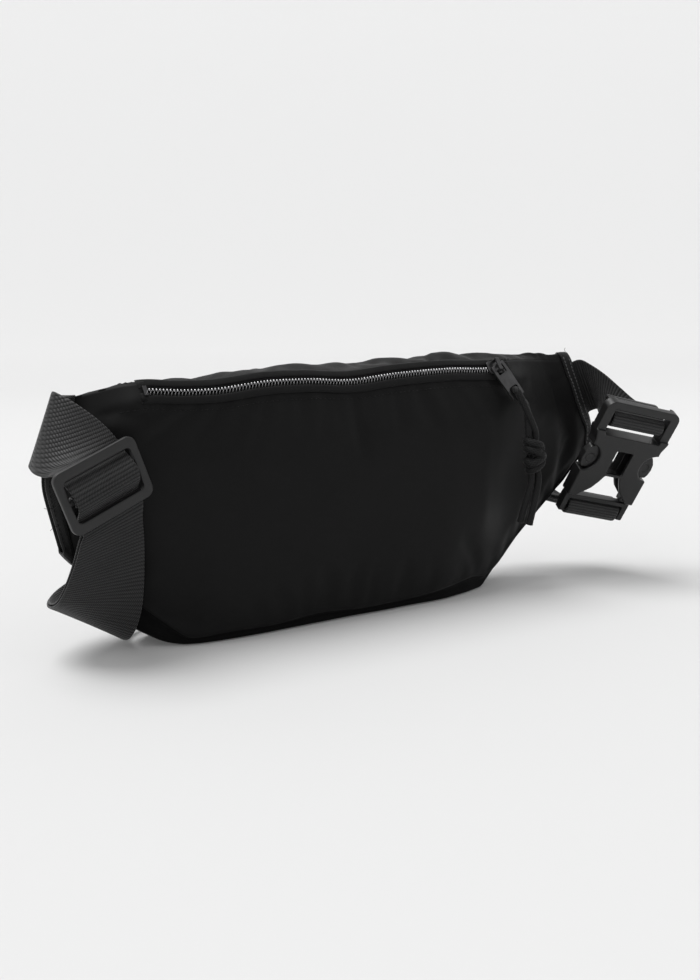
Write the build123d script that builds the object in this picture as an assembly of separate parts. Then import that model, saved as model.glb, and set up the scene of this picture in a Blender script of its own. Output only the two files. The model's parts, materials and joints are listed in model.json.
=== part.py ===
from build123d import *
import math
import os

os.makedirs("parts", exist_ok=True)

# ----------------------------------------------------------------------------
# Waist pack with a flat pouch, two wings, a curved top strip with a zip, a
# 38 mm webbing belt, a tri-glide adjuster and a side-release buckle.
# Millimetres. X runs along the pack, -Y is the zip side, +Z is up. The pack
# stands on the flat bottom of its gusset.
# ----------------------------------------------------------------------------

# Driving dimensions
WEBBING_WIDTH = 38.0          # belt webbing
WEBBING_THICK = 1.4
LAYER_PITCH = 1.9             # centre distance of two webbing layers
FABRIC = 1.2                  # outer shell fabric
LINING = 0.6                  # inner lining
PAD = 3.0                     # foam behind the back panel
ZIP_Y, ZIP_Z = -20.0, 141.0   # zip centre line, straight along X
ZIP_TILT = 37.0               # how far the zip band leans back, degrees
ZIP_X0, ZIP_X1 = -128.0, 116.0
TAPE = 0.8                    # zip tape thickness
TAPE_HALF = 5.5               # half width of the zip band
TEETH_HALF = 1.6              # inner edge of each tape
TOOTH_PITCH = 3.2
SLIDER_X = 106.5              # slider at its closed end
BUCKLE_WIDTH = 54.0
BUCKLE_LENGTH = 86.0
GLIDE_WIDTH, GLIDE_HEIGHT, GLIDE_THICK = 50.0, 34.0, 3.0
CORD_D = 4.4                  # pull cord
BRIDGE_N = 4.3                # puller's hinge above the tape
TAB_THICK = 1.3

# Poses of the hard parts: centre, width direction, long direction
BUCKLE_C = (190.0, -43.0, 78.0)
BUCKLE_U = (0.945, -0.232, -0.232)
BUCKLE_V = (0.093, -0.487, 0.868)
GLIDE_C = (-158.2, -39.0, 97.2)
GLIDE_U = (0.925, 0.163, 0.344)
GLIDE_V = (-0.343, -0.035, 0.939)

# The row frame's origin is the middle of the object's footprint
ORIGIN = (17.106, -15.891, 0.0)


# ----------------------------------------------------------------------------
# Small vector helpers
# ----------------------------------------------------------------------------
def add(a, b):
    return (a[0] + b[0], a[1] + b[1], a[2] + b[2])


def sub(a, b):
    return (a[0] - b[0], a[1] - b[1], a[2] - b[2])


def mul(a, s):
    return (a[0] * s, a[1] * s, a[2] * s)


def dot(a, b):
    return a[0] * b[0] + a[1] * b[1] + a[2] * b[2]


def cross(a, b):
    return (a[1] * b[2] - a[2] * b[1], a[2] * b[0] - a[0] * b[2], a[0] * b[1] - a[1] * b[0])


def norm(a):
    n = math.sqrt(dot(a, a))
    return (a[0] / n, a[1] / n, a[2] / n)


def lerp(a, b, t):
    return a + (b - a) * t


def table(keys, x):
    """Smooth curve through (x, value) pairs, flat beyond its ends."""
    if x <= keys[0][0]:
        return keys[0][1]
    if x >= keys[-1][0]:
        return keys[-1][1]
    n = len(keys)
    slopes = []
    for i in range(n - 1):
        slopes.append((keys[i + 1][1] - keys[i][1]) / (keys[i + 1][0] - keys[i][0]))
    for i in range(n - 1):
        if keys[i][0] <= x <= keys[i + 1][0]:
            h = keys[i + 1][0] - keys[i][0]
            t = (x - keys[i][0]) / h
            m0 = 0.0 if i == 0 or slopes[i - 1] * slopes[i] <= 0 else 2 * slopes[i - 1] * slopes[i] / (slopes[i - 1] + slopes[i])
            m1 = 0.0 if i == n - 2 or slopes[i] * slopes[i + 1] <= 0 else 2 * slopes[i] * slopes[i + 1] / (slopes[i] + slopes[i + 1])
            a, b = keys[i][1], keys[i + 1][1]
            t2, t3 = t * t, t * t * t
            return (2 * t3 - 3 * t2 + 1) * a + (t3 - 2 * t2 + t) * h * m0 + (-2 * t3 + 3 * t2) * b + (t3 - t2) * h * m1
    return keys[-1][1]


def straight(keys, x):
    """Straight runs through (x, value) pairs."""
    if x <= keys[0][0]:
        return keys[0][1]
    for i in range(len(keys) - 1):
        if x <= keys[i + 1][0]:
            t = (x - keys[i][0]) / (keys[i + 1][0] - keys[i][0])
            return lerp(keys[i][1], keys[i + 1][1], t)
    return keys[-1][1]


# ----------------------------------------------------------------------------
# The pack's body: a closed ring of outline points at each station along X.
# The wings are the flattened ends of the ring.
# ----------------------------------------------------------------------------
BOTTOM = [(-168, 57), (-150, 36), (-134, 14), (-118, 3.2), (-107, 0), (104, 0), (118, 12), (137.5, 31), (153, 43), (165, 54), (181, 70), (196, 86)]
SEAM_UP = [(-168, 3), (-150, 7.3), (-134, 14.5), (-118, 11.08), (-107, 4.5), (104, 4.5), (137, 3.5), (196, 3)]
FRONT_LOW = [(-168, -3.0), (-150, -7), (-134, -12), (-115, -17), (-95, -22), (-60, -24), (60, -24), (85, -20), (104, -14), (135, -9), (160, -6.6), (176, -6.0)]
FRONT_MID = [(-168, -3.0), (-150, -10), (-134, -16.5), (-115, -22), (-90, -26), (-60, -27), (60, -27), (90, -25), (104, -20), (120, -14), (135, -11), (160, -7.6), (176, -6.0)]
ZIP_ROW = [(-168, -3.0), (-150, -10), (-141, -15), (-130, -20), (118, -20), (130, -17), (145, -12), (162, -8.0), (176, -6.0)]
BACK_TOP = [(-168, 3.0), (-150, 8), (-130, 14), (-100, 16), (90, 16), (120, 13), (145, 6), (162, 1.5), (176, -1.0)]
BACK_MID = [(-168, 3.0), (-150, 9), (-134, 15), (-115, 20), (-90, 25), (-40, 28), (50, 28), (90, 24), (104, 20), (120, 14), (135, 9), (160, 2.0), (176, -1.0)]
BACK_LOW = [(-168, 3.0), (-150, 6), (-134, 11), (-107, 18), (-90, 22), (60, 23), (90, 20), (104, 15), (135, 6), (160, 1.0), (176, -1.0)]
RIDGE_Y = [(-168, 0.0), (-130, 0.5), (110, 0.5), (150, -2.0), (176, -3.5)]
RIDGE_Z = [(-168, 142), (-150, 145), (-130, 147.2), (-60, 148.3), (0, 148.6), (110, 149.5), (150, 149), (180, 147.5), (196, 146.8)]
TILT = [(-168, 10), (-145, 18), (-130, ZIP_TILT), (118, ZIP_TILT), (140, 18), (176, 6)]
ZIP_ROW_Z = [(-168, 133), (-150, 137), (-130, ZIP_Z), (118, ZIP_Z), (150, 139.5), (196, 137)]

STATIONS = [-168, -159, -150, -142, -134, -128, -118, -107, -98, -80, -60, -40, -20, 0, 20, 40, 60, 80, 94, 104, 111, 116, 126, 137, 148, 160, 170, 183, 196]
N_RING = 22                   # outline points at each station
J_SEAM, J_ZIP0, J_ZIP1, J_RIDGE, J_BACK, J_LOW = 2, 8, 11, 13, 15, 21


def end_shift(x, z):
    """How far the outline of a station leans along X, so that the wings end in slanted seams."""
    if x > 104:
        t = min(1.0, (x - 104) / 79.0) ** 1.5
        target = 191.5 - 0.44 * (z - 123.7)
        target = min(target, 202.5 - 0.25 * max(0.0, z - 100.0))
        return t * (target - 196.0)
    if x < -107:
        t = min(1.0, (-107 - x) / 52.0) ** 1.5
        target = straight([(57, -168), (80, -173), (98, -176), (143, -164)], z)
        return t * (target + 168.0)
    return 0.0


def ring(x):
    """The outer outline of the pack at station x: a list of (x, y, z)."""
    zb = straight(BOTTOM, x)
    zs = zb + straight(SEAM_UP, x)
    tilt = math.radians(table(TILT, x))
    wy, wz = math.sin(tilt), math.cos(tilt)
    zy, zz = table(ZIP_ROW, x), table(ZIP_ROW_Z, x)
    fl, fm = table(FRONT_LOW, x), table(FRONT_MID, x)
    bl, bm, bt = table(BACK_LOW, x), table(BACK_MID, x), table(BACK_TOP, x)
    ry, rz = table(RIDGE_Y, x), table(RIDGE_Z, x)
    flat = 1.0 if -160 < x < 170 else 0.0
    z_lo = (zy - TAPE_HALF * wy * flat, zz - TAPE_HALF * wz)
    z_up = (zy + TAPE_HALF * wy * flat, zz + TAPE_HALF * wz)
    pts = [(bl - 0.8 * flat, zb), (fl + 2.0 * flat, zb), (fl, zs)]
    for f in (0.13, 0.3, 0.5, 0.7, 0.86):
        y = lerp(fl, z_lo[0], f) + (fm - (fl + z_lo[0]) / 2) * math.sin(math.pi * f) ** 0.8
        pts.append((y, lerp(zs, z_lo[1], f)))
    pts.append(z_lo)
    pts.append((zy - TEETH_HALF * wy * flat, zz - TEETH_HALF * wz))
    pts.append((zy + TEETH_HALF * wy * flat, zz + TEETH_HALF * wz))
    pts.append(z_up)
    pts.append((lerp(z_up[0], ry, 0.5), lerp(z_up[1], rz, 0.78)))
    pts.append((ry, rz))
    pts.append((lerp(ry, bt, 0.55), rz - 1.4))
    z_bt = rz - 7.0
    pts.append((bt, z_bt))
    for f in (0.15, 0.35, 0.55, 0.75, 0.9):
        y = lerp(bt, bl, f) + (bm - (bl + bt) / 2) * math.sin(math.pi * f) ** 0.8
        pts.append((y, lerp(z_bt, zs, f)))
    pts.append((bl, zs))
    return [(x + end_shift(x, z), y, z) for y, z in pts]


def inward(points, depth):
    """The outline moved in by a depth at each point, mitred, in the plane of Y and Z."""
    out = []
    n = len(points)
    for j in range(n):
        p0, p, p1 = points[j - 1], points[j], points[(j + 1) % n]
        e0 = (p[1] - p0[1], p[2] - p0[2])
        e1 = (p1[1] - p[1], p1[2] - p[2])
        l0 = math.hypot(*e0) or 1.0
        l1 = math.hypot(*e1) or 1.0
        # the outline runs back -> front along the bottom, then up the front
        n0 = (e0[1] / l0, -e0[0] / l0)
        n1 = (e1[1] / l1, -e1[0] / l1)
        k = max(0.45, 1.0 + n0[0] * n1[0] + n0[1] * n1[1])
        d = depth[j] if isinstance(depth, (list, tuple)) else depth
        out.append((p[0], p[1] + d * (n0[0] + n1[0]) / k, p[2] + d * (n0[1] + n1[1]) / k))
    return out


RINGS = [ring(x) for x in STATIONS]


def solid_from(triangles):
    """A closed solid from triangles; points that coincide are one point, and empty triangles go."""
    faces = []
    for tri in triangles:
        q = [tuple(round(v, 5) for v in p) for p in tri]
        if q[0] == q[1] or q[1] == q[2] or q[0] == q[2]:
            continue
        area = cross(sub(q[1], q[0]), sub(q[2], q[0]))
        if dot(area, area) < 1e-9:
            continue
        faces.append(Face(Wire.make_polygon([Vector(*p) for p in q], close=True)))
    s = Solid(Shell(faces))
    if s.volume < 0:
        s = Solid(Shell([f for f in s.faces()]))
    return s


def quad(a, b, c, d):
    return [(a, b, c), (a, c, d)]


def shell_solid(cells, outer_depth, inner_depth):
    """A sheet solid over a set of ring cells (i, j), between two depths below the outer face."""
    top, bot = {}, {}
    for i in range(len(STATIONS)):
        o = inward(RINGS[i], outer_depth(i)) if callable(outer_depth) else inward(RINGS[i], outer_depth)
        b = inward(RINGS[i], inner_depth(i)) if callable(inner_depth) else inward(RINGS[i], inner_depth)
        for j in range(N_RING):
            top[(i, j)] = o[j]
            bot[(i, j)] = b[j]
    cells = set(cells)
    tris = []
    for (i, j) in cells:
        k = (j + 1) % N_RING
        a, b, c, d = (i, j), (i + 1, j), (i + 1, k), (i, k)
        for p, q, r in ((a, b, c), (a, c, d)):
            if all(max(abs(u - v) for u, v in zip(top[e], bot[e])) < 1e-6 for e in (p, q, r)):
                continue                          # no thickness here
            tris += [(top[p], top[q], top[r]), (bot[p], bot[r], bot[q])]
        if (i - 1, j) not in cells:
            tris += quad(top[d], bot[d], bot[a], top[a])
        if (i + 1, j) not in cells:
            tris += quad(top[c], top[b], bot[b], bot[c])
        if (i, (j - 1) % N_RING) not in cells:
            tris += quad(top[a], bot[a], bot[b], top[b])
        if (i, k) not in cells:
            tris += quad(top[d], top[c], bot[c], bot[d])
    return solid_from(tris)


def station(x):
    return STATIONS.index(x)


def band(j0, j1, i0=0, i1=None):
    i1 = len(STATIONS) - 1 if i1 is None else i1
    return [(i, j % N_RING) for i in range(i0, i1) for j in range(j0, j1)]


NODES = {}


def put(name, shape):
    NODES[name] = shape


I0, I1 = station(-128), station(116)
ends = [(i, j) for i in list(range(0, I0)) + list(range(I1, len(STATIONS) - 1)) for j in range(J_ZIP0, J_ZIP1)]

put("front_panel", shell_solid(band(J_SEAM, J_ZIP0) + ends, 0.0, FABRIC))
put("top_panel", shell_solid(band(J_ZIP1, J_BACK), 0.0, FABRIC))
put("back_panel", shell_solid(band(J_BACK, J_LOW), 0.0, FABRIC))
put("bottom_gusset", shell_solid(band(J_LOW, J_SEAM + N_RING), 0.0, FABRIC))
put("zip_tape_lower", shell_solid(band(J_ZIP0, J_ZIP0 + 1, I0, I1), 0.0, TAPE))
put("zip_tape_upper", shell_solid(band(J_ZIP1 - 1, J_ZIP1, I0, I1), 0.0, TAPE))


def pad_depth(i):
    """The foam's thickness at each ring point of a station."""
    x = STATIONS[i]
    t = max(0.0, min(1.0, (110 - abs(x)) / 20.0))
    return [PAD * t if 16 <= j <= 20 else 0.0 for j in range(N_RING)]


def below_pad(i, extra):
    return [FABRIC + p + extra for p in pad_depth(i)]


pad_cells = [(i, j) for i in range(len(STATIONS) - 1) for j in range(J_BACK, J_LOW)
             if max(pad_depth(i)) > 0 or max(pad_depth(i + 1)) > 0]
put("back_padding", shell_solid(pad_cells, FABRIC, lambda i: below_pad(i, 0.0)))
lining_cells = [(i, j) for i in range(len(STATIONS) - 1) for j in range(N_RING)
                if not (J_ZIP0 <= j < J_ZIP1 and I0 <= i < I1)]
put("lining", shell_solid(lining_cells, lambda i: below_pad(i, 0.0), lambda i: below_pad(i, LINING)))

# Bindings: a folded tape around the seam at each wing's end
last = len(STATIONS) - 1


def binding(i_end, i_in, depth):
    """A closed sleeve of tape over the last few millimetres of a wing."""
    a = inward(RINGS[i_end], -0.15)
    b0 = inward(RINGS[i_in], -0.15)
    ao = inward(RINGS[i_end], -depth)
    bo0 = inward(RINGS[i_in], -depth)
    k = 0.72                   # the sleeve ends partly towards the next station
    b = [tuple(lerp(p[c], q[c], k) for c in range(3)) for p, q in zip(a, b0)]
    bo = [tuple(lerp(p[c], q[c], k) for c in range(3)) for p, q in zip(ao, bo0)]
    tris = []
    n = N_RING
    for j in range(n):
        q = (j + 1) % n
        if i_end < i_in:
            A, B, AO, BO = a, b, ao, bo
        else:
            A, B, AO, BO = b, a, bo, ao
        tris += quad(AO[j], BO[j], BO[q], AO[q])
        tris += [(A[j], B[q], B[j]), (A[j], A[q], B[q])]
        tris += quad(AO[j], AO[q], A[q], A[j])
        tris += quad(BO[q], BO[j], B[j], B[q])
    return solid_from(tris)


put("wing_binding_left", binding(0, 1, 1.05))
put("wing_binding_right", binding(last, last - 1, 1.05))


# ----------------------------------------------------------------------------
# Zip: teeth on each tape's edge, end stops, slider with its bridge
# ----------------------------------------------------------------------------
tilt = math.radians(ZIP_TILT)
W_DIR = (0.0, math.sin(tilt), math.cos(tilt))       # up across the zip
N_DIR = (0.0, -math.cos(tilt), math.sin(tilt))      # out of the zip's face


def zip_plane(x):
    return Plane(origin=(x, ZIP_Y, ZIP_Z), x_dir=(1, 0, 0), z_dir=N_DIR)


def clamp_profile(side, w_in, w_out, n_lo, n_hi):
    """A C around the tape's edge, in the plane of w and n, for side +1 (upper) or -1 (lower)."""
    pts = [(w_in, n_lo), (w_out, n_lo), (w_out, -TAPE), (TEETH_HALF, -TAPE), (TEETH_HALF, 0), (w_out, 0), (w_out, n_hi), (w_in, n_hi)]
    return [(side * w, n) for w, n in pts]


def prism_x(points, x0, x1):
    """A prism along X from a profile in (w, n)."""
    def at(x, w, n):
        return add((x, ZIP_Y, ZIP_Z), add(mul(W_DIR, w), mul(N_DIR, n)))
    wire = Wire.make_polygon([Vector(*at(x0, w, n)) for w, n in points], close=True)
    return Solid.extrude(Face(wire), Vector(x1 - x0, 0, 0))


def teeth(side):
    """A row of teeth on the cord along the tape's edge."""
    bead = [(side * w, n) for w, n in ((1.0, -TAPE), (TEETH_HALF, -TAPE), (TEETH_HALF, 0), (1.0, 0))]
    row = prism_x(bead, ZIP_X0 + 3.6, SLIDER_X + 2.4)
    out = []
    x = ZIP_X0 + 4.0 + (TOOTH_PITCH / 2 if side > 0 else 0.0)
    while x + 1.2 < SLIDER_X + 2.0:
        out.append(prism_x(clamp_profile(side, -0.5, 2.7, -1.6, 0.8), x, x + 1.2))
        x += TOOTH_PITCH
    return row.fuse(*out)


put("zip_teeth_upper", teeth(1))
put("zip_teeth_lower", teeth(-1))
put("zip_top_stop_upper", prism_x(clamp_profile(1, 0.9, 3.2, -1.8, 1.0), 113.0, 115.0))
put("zip_top_stop_lower", prism_x(clamp_profile(-1, 0.9, 3.2, -1.8, 1.0), 113.0, 115.0))
bottom_stop = [(-2.9, -1.8), (2.9, -1.8), (2.9, -TAPE), (TEETH_HALF, -TAPE), (TEETH_HALF, 0), (2.9, 0), (2.9, 1.0),
               (-2.9, 1.0), (-2.9, 0), (-TEETH_HALF, 0), (-TEETH_HALF, -TAPE), (-2.9, -TAPE)]
put("zip_bottom_stop", prism_x(bottom_stop, ZIP_X0 + 1.0, ZIP_X0 + 3.2))

# Slider body, in the zip's local axes: x along the zip, y across, z out
top_plate = extrude(RectangleRounded(11.4, 8.8, 2.2), 1.1).moved(Location((0, 0, 1.3)))
low_plate = extrude(RectangleRounded(11.4, 8.8, 2.2), 1.1).moved(Location((0, 0, -3.2)))
flange = Box(8.6, 0.8, 0.95, align=(Align.CENTER, Align.CENTER, Align.MIN))
slider = top_plate + low_plate
for s in (1, -1):
    slider += flange.moved(Location((0, s * 3.95, 0.35)))
    slider += flange.moved(Location((0, s * 3.95, -2.1)))
slider += Pos(4.1, 0, -0.4) * Box(1.8, 1.6, 3.6)
put("zip_slider_body", zip_plane(SLIDER_X).location * slider)
arch = Pos(0, 0, 4.6) * Box(2.4, 8.6, 4.4)
arch -= Pos(0, 0, 3.95) * Box(4.0, 6.6, 3.1)
put("zip_slider_bridge", zip_plane(SLIDER_X).location * arch)

# Puller: an eye under the bridge, a plate, and a slot for the cord
PIVOT = add((SLIDER_X, ZIP_Y, ZIP_Z), mul(N_DIR, BRIDGE_N))
TAB_T = norm((0.42, -0.38, -0.82))                  # along the puller, downwards
TAB_M = norm(sub((0, -0.907, 0.42), mul(TAB_T, dot((0, -0.907, 0.42), TAB_T))))
TAB_C = norm(cross(TAB_M, TAB_T))                   # hinge axis, across the puller
tab_plane = Plane(origin=PIVOT, x_dir=TAB_C, z_dir=TAB_M)   # local y is up the puller
with BuildSketch() as tab_sk:
    with BuildLine():
        Polyline((-5.6, 0.65), (5.6, 0.65), (6.0, -7.0), (5.4, -23.4), (-5.4, -23.4), (-6.0, -7.0), (-5.6, 0.65))
    make_face()
    with Locations((0, -3.45)):
        Rectangle(7.2, 5.6, mode=Mode.SUBTRACT)
    with Locations((0, -18.9)):
        RectangleRounded(7.4, 5.4, 1.4, mode=Mode.SUBTRACT)
tab = extrude(tab_sk.sketch, TAB_THICK / 2, both=True)
put("puller_tab", tab_plane.location * tab)


def tab_point(t, c, m):
    return add(PIVOT, add(mul(TAB_T, t), add(mul(TAB_C, c), mul(TAB_M, m))))


# ----------------------------------------------------------------------------
# Pull cord: doubled through the puller's slot, knotted, with two cut tails
# ----------------------------------------------------------------------------
KNOT_TOP, KNOT_BOTTOM = (124.1, -36.4, 98.5), (126.2, -36.4, 77.0)
UP = norm(sub(KNOT_TOP, KNOT_BOTTOM))
ASIDE = norm(cross(UP, (0.25, 1.0, 0.0)))            # the two strands lie side by side
LOOP = [
    add(KNOT_TOP, mul(ASIDE, -2.4)),
    add(add(KNOT_TOP, mul(ASIDE, -2.4)), mul(UP, 4.0)),
    add(tab_point(31.0, -2.6, 1.6), (0, -0.6, 0)),
    tab_point(23.8, -2.4, 3.6),
    tab_point(18.9, -1.4, 3.6),
    tab_point(18.9, 1.2, -3.6),
    tab_point(23.8, 2.4, -3.4),
    add(tab_point(31.0, 2.9, -1.8), (0, -1.0, 0)),
    add(add(KNOT_TOP, mul(ASIDE, 2.4)), mul(UP, 4.0)),
    add(KNOT_TOP, mul(ASIDE, 2.4)),
]
TAIL_A = [add(KNOT_BOTTOM, mul(ASIDE, 2.4)), add(add(KNOT_BOTTOM, mul(ASIDE, 2.4)), mul(UP, -7.0)), (121.7, -34.6, 60.0), (117.1, -33.8, 44.5)]
TAIL_B = [add(KNOT_BOTTOM, mul(ASIDE, -2.4)), add(add(KNOT_BOTTOM, mul(ASIDE, -2.4)), mul(UP, -7.0)), (126.1, -38.0, 60.0), (121.1, -37.6, 43.0)]


def tube(points, radius, d=CORD_D):
    line = FilletPolyline(*[Vector(*p) for p in points], radius=radius)
    start = line @ 0
    profile = Plane(origin=start, z_dir=line % 0) * Circle(d / 2)
    return sweep(profile, path=line)


put("pull_cord", tube(LOOP, 2.35))
put("pull_cord_tail_a", tube(TAIL_A, 10.0))
put("pull_cord_tail_b", tube(TAIL_B, 10.0))
knot_axis = norm(sub(KNOT_TOP, KNOT_BOTTOM))
knot_len = math.sqrt(dot(sub(KNOT_TOP, KNOT_BOTTOM), sub(KNOT_TOP, KNOT_BOTTOM)))
with BuildSketch(Plane.XZ) as knot_sk:
    with BuildLine():
        Polyline((0, 0), (4.9, 0), (6.9, 3.5), (7.5, 7.0), (6.6, 11.0), (7.5, 15.0), (7.0, 18.5), (4.9, knot_len), (0, knot_len), (0, 0))
    make_face()
knot = revolve(knot_sk.sketch, Axis.Z)
put("pull_cord_knot", Plane(origin=KNOT_BOTTOM, z_dir=knot_axis).location * knot)


# ----------------------------------------------------------------------------
# Webbing: ribbons between two edge lines
# ----------------------------------------------------------------------------
GLIDE_N = norm(cross(GLIDE_U, GLIDE_V))
BUCKLE_UN = norm(BUCKLE_U)
BUCKLE_VN = norm(sub(BUCKLE_V, mul(BUCKLE_UN, dot(BUCKLE_V, BUCKLE_UN))))
BUCKLE_N = norm(cross(BUCKLE_UN, BUCKLE_VN))
GLIDE_UN = norm(GLIDE_U)
GLIDE_VN = norm(sub(GLIDE_V, mul(GLIDE_UN, dot(GLIDE_V, GLIDE_UN))))


def glide(u, v, n):
    return add(GLIDE_C, add(mul(GLIDE_UN, u), add(mul(GLIDE_VN, v), mul(GLIDE_N, n))))


def buckle(u, v, n):
    return add(BUCKLE_C, add(mul(BUCKLE_UN, u), add(mul(BUCKLE_VN, v), mul(BUCKLE_N, n))))


def catmull(ctrl, step):
    """Dense stations (A, B) along control stations, centripetal, about one step apart."""
    def mid(s):
        return mul(add(s[0], s[1]), 0.5)
    knots = [0.0]
    for a, b in zip(ctrl, ctrl[1:]):
        d = sub(mid(b), mid(a))
        knots.append(knots[-1] + max(1e-3, math.sqrt(dot(d, d))) ** 0.5)
    out = []
    n = len(ctrl)
    for i in range(n - 1):
        d = sub(mid(ctrl[i + 1]), mid(ctrl[i]))
        count = max(1, int(round(math.sqrt(dot(d, d)) / step)))
        for k in range(count):
            t = knots[i] + (knots[i + 1] - knots[i]) * k / count
            pair = []
            for e in (0, 1):
                p1, p2 = ctrl[i][e], ctrl[i + 1][e]
                t1, t2 = knots[i], knots[i + 1]
                if i > 0:
                    p0, t0 = ctrl[i - 1][e], knots[i - 1]
                else:
                    p0, t0 = sub(mul(p1, 2), p2), t1 - (t2 - t1)
                if i < n - 2:
                    p3, t3 = ctrl[i + 2][e], knots[i + 2]
                else:
                    p3, t3 = sub(mul(p2, 2), p1), t2 + (t2 - t1)
                a1 = add(mul(p0, (t1 - t) / (t1 - t0)), mul(p1, (t - t0) / (t1 - t0)))
                a2 = add(mul(p1, (t2 - t) / (t2 - t1)), mul(p2, (t - t1) / (t2 - t1)))
                a3 = add(mul(p2, (t3 - t) / (t3 - t2)), mul(p3, (t - t2) / (t3 - t2)))
                b1 = add(mul(a1, (t2 - t) / (t2 - t0)), mul(a2, (t - t0) / (t2 - t0)))
                b2 = add(mul(a2, (t3 - t) / (t3 - t1)), mul(a3, (t - t1) / (t3 - t1)))
                pair.append(add(mul(b1, (t2 - t) / (t2 - t1)), mul(b2, (t - t1) / (t2 - t1))))
            out.append(tuple(pair))
    out.append(ctrl[-1])
    return out


def ribbon_normals(st):
    normals = []
    for i in range(len(st)):
        a, b = st[max(0, i - 1)], st[min(len(st) - 1, i + 1)]
        t = sub(mul(add(b[0], b[1]), 0.5), mul(add(a[0], a[1]), 0.5))
        w = sub(st[i][1], st[i][0])
        normals.append(norm(cross(t, w)))
    return normals


def ribbon(st, nrm=None, thick=WEBBING_THICK):
    """A closed ribbon along stations (A, B), with its own normals unless they are given."""
    nrm = nrm or ribbon_normals(st)
    rows = []
    for (a, b), n in zip(st, nrm):
        hi, lo = mul(n, thick / 2), mul(n, -thick / 2)
        rows.append((add(a, hi), add(b, hi), add(b, lo), add(a, lo)))
    tris = []
    for r0, r1 in zip(rows, rows[1:]):
        for k in (0, 1, 3):
            q = (k + 1) % 4
            tris += quad(r0[k], r0[q], r1[q], r1[k])
        tris += quad(r0[3], r1[3], r1[2], r0[2])      # the same diagonal as the other face
    tris += [(rows[0][0], rows[0][2], rows[0][1]), (rows[0][0], rows[0][3], rows[0][2])]
    tris += quad(rows[-1][0], rows[-1][1], rows[-1][2], rows[-1][3])
    return solid_from(tris)


H = WEBBING_WIDTH / 2
# Belt, long side. A is the edge that is on top when the belt is worn.
# Left wing -> fold towards the front -> adjuster -> down -> behind the pack -> buckle bar
tipL = norm((0.258, 0.0, 0.966))
perpL = (-0.966, 0.0, 0.258)
cL = (-169.0, 0.0, 119.5)


def left_tip(s, y=0.0):
    c = add(cL, add(mul(perpL, s), (0, y, 0)))
    return (add(c, mul(tipL, H)), sub(c, mul(tipL, H)))


def across_glide(v, n, u=0.0):
    return (glide(H + u, v, n), glide(-H + u, v, n))


def across_buckle(v, n):
    return (buckle(H, v, n), buckle(-H, v, n))


WING_TO_GLIDE = [
    left_tip(-11.0), left_tip(-6.0), left_tip(-1.0), left_tip(2.0), left_tip(4.5),
    ((-168.6, -1.6, 140.8), (-183.0, -1.6, 104.4)),
    ((-170.6, -7.0, 142.8), (-183.9, -4.5, 103.6)),
    ((-169.4, -13.0, 141.8), (-184.3, -9.0, 102.6)),
    ((-165.2, -19.5, 138.4), (-184.4, -14.5, 102.0)),
    ((-158.6, -25.4, 132.4), (-184.0, -20.5, 101.8)),
    ((-152.2, -30.0, 125.6), (-183.2, -27.0, 102.2)),
    ((-147.6, -33.4, 118.6), (-182.4, -33.8, 103.4)),
    across_glide(13.2, -3.3), across_glide(10.6, -2.8),
    across_glide(8.7, -1.1), across_glide(6.6, 1.2), across_glide(4.2, 3.2), across_glide(1.5, 4.2), across_glide(-1.5, 4.2), across_glide(-4.2, 3.2),
    across_glide(-6.6, 1.2), across_glide(-8.7, -1.1), across_glide(-10.6, -2.8), across_glide(-13.2, -3.3), across_glide(-16.5, -3.5), across_glide(-19.5, -3.8),
]
GLIDE_TO_BUCKLE = [
    across_glide(-19.5, -3.8),
    ((-134.8, -30.5, 78.5), (-171.0, -36.8, 68.4)),
    ((-133.4, -27.6, 65.0), (-173.0, -32.0, 57.0)),
    ((-132.8, -25.0, 51.0), (-175.5, -27.6, 47.0)),
    ((-132.8, -22.8, 38.0), (-177.6, -23.8, 40.0)),
    ((-133.6, -20.0, 25.0), (-179.0, -19.4, 35.4)),
    ((-135.3, -15.5, 14.0), (-179.8, -13.5, 32.8)),
    ((-136.4, -9.0, 7.6), (-179.6, -7.0, 31.4)),
    ((-136.0, -1.0, 4.8), (-178.0, 0.0, 31.0)),
    ((-133.0, 8.5, 3.8), (-174.0, 8.5, 31.6)),
    ((-127.0, 18.0, 3.4), (-165.0, 19.0, 33.4)),
    ((-117.0, 27.0, 3.4), (-148.5, 29.0, 37.5)),
    ((-102.0, 33.0, 5.0), (-123.0, 35.5, 41.5)),
    ((-82.0, 36.5, 7.2), (-98.0, 38.5, 43.2)),
    ((-55.0, 38.5, 12.0), (-68.0, 39.5, 49.0)),
    ((-15.0, 39.5, 20.6), (-25.0, 39.5, 57.4)),
    ((30.0, 39.5, 31.6), (20.0, 39.5, 68.4)),
    ((70.0, 39.0, 41.0), (60.0, 38.5, 77.8)),
    ((104.0, 37.0, 48.5), (94.0, 36.0, 85.0)),
    ((134.0, 33.5, 52.5), (121.0, 31.0, 88.0)),
    ((160.0, 27.0, 51.5), (141.0, 24.0, 85.0)),
    ((178.0, 18.0, 47.5), (156.0, 13.5, 78.0)),
    ((195.0, 7.0, 43.0), (165.0, 9.0, 66.5)),
    ((205.0, -2.0, 41.5), (171.0, 3.4, 54.2)),
    ((207.5, -12.0, 44.5), (173.0, -6.5, 52.0)),
    across_buckle(-33.4, -10.5),
    across_buckle(-33.0, -6.5), across_buckle(-32.9, -3.0), across_buckle(-33.1, 0.4),
    across_buckle(-34.4, 2.8), across_buckle(-37.2, 3.5), across_buckle(-40.3, 3.5), across_buckle(-42.8, 2.5), across_buckle(-44.0, 0.6), across_buckle(-44.2, -1.4),
]



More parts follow.
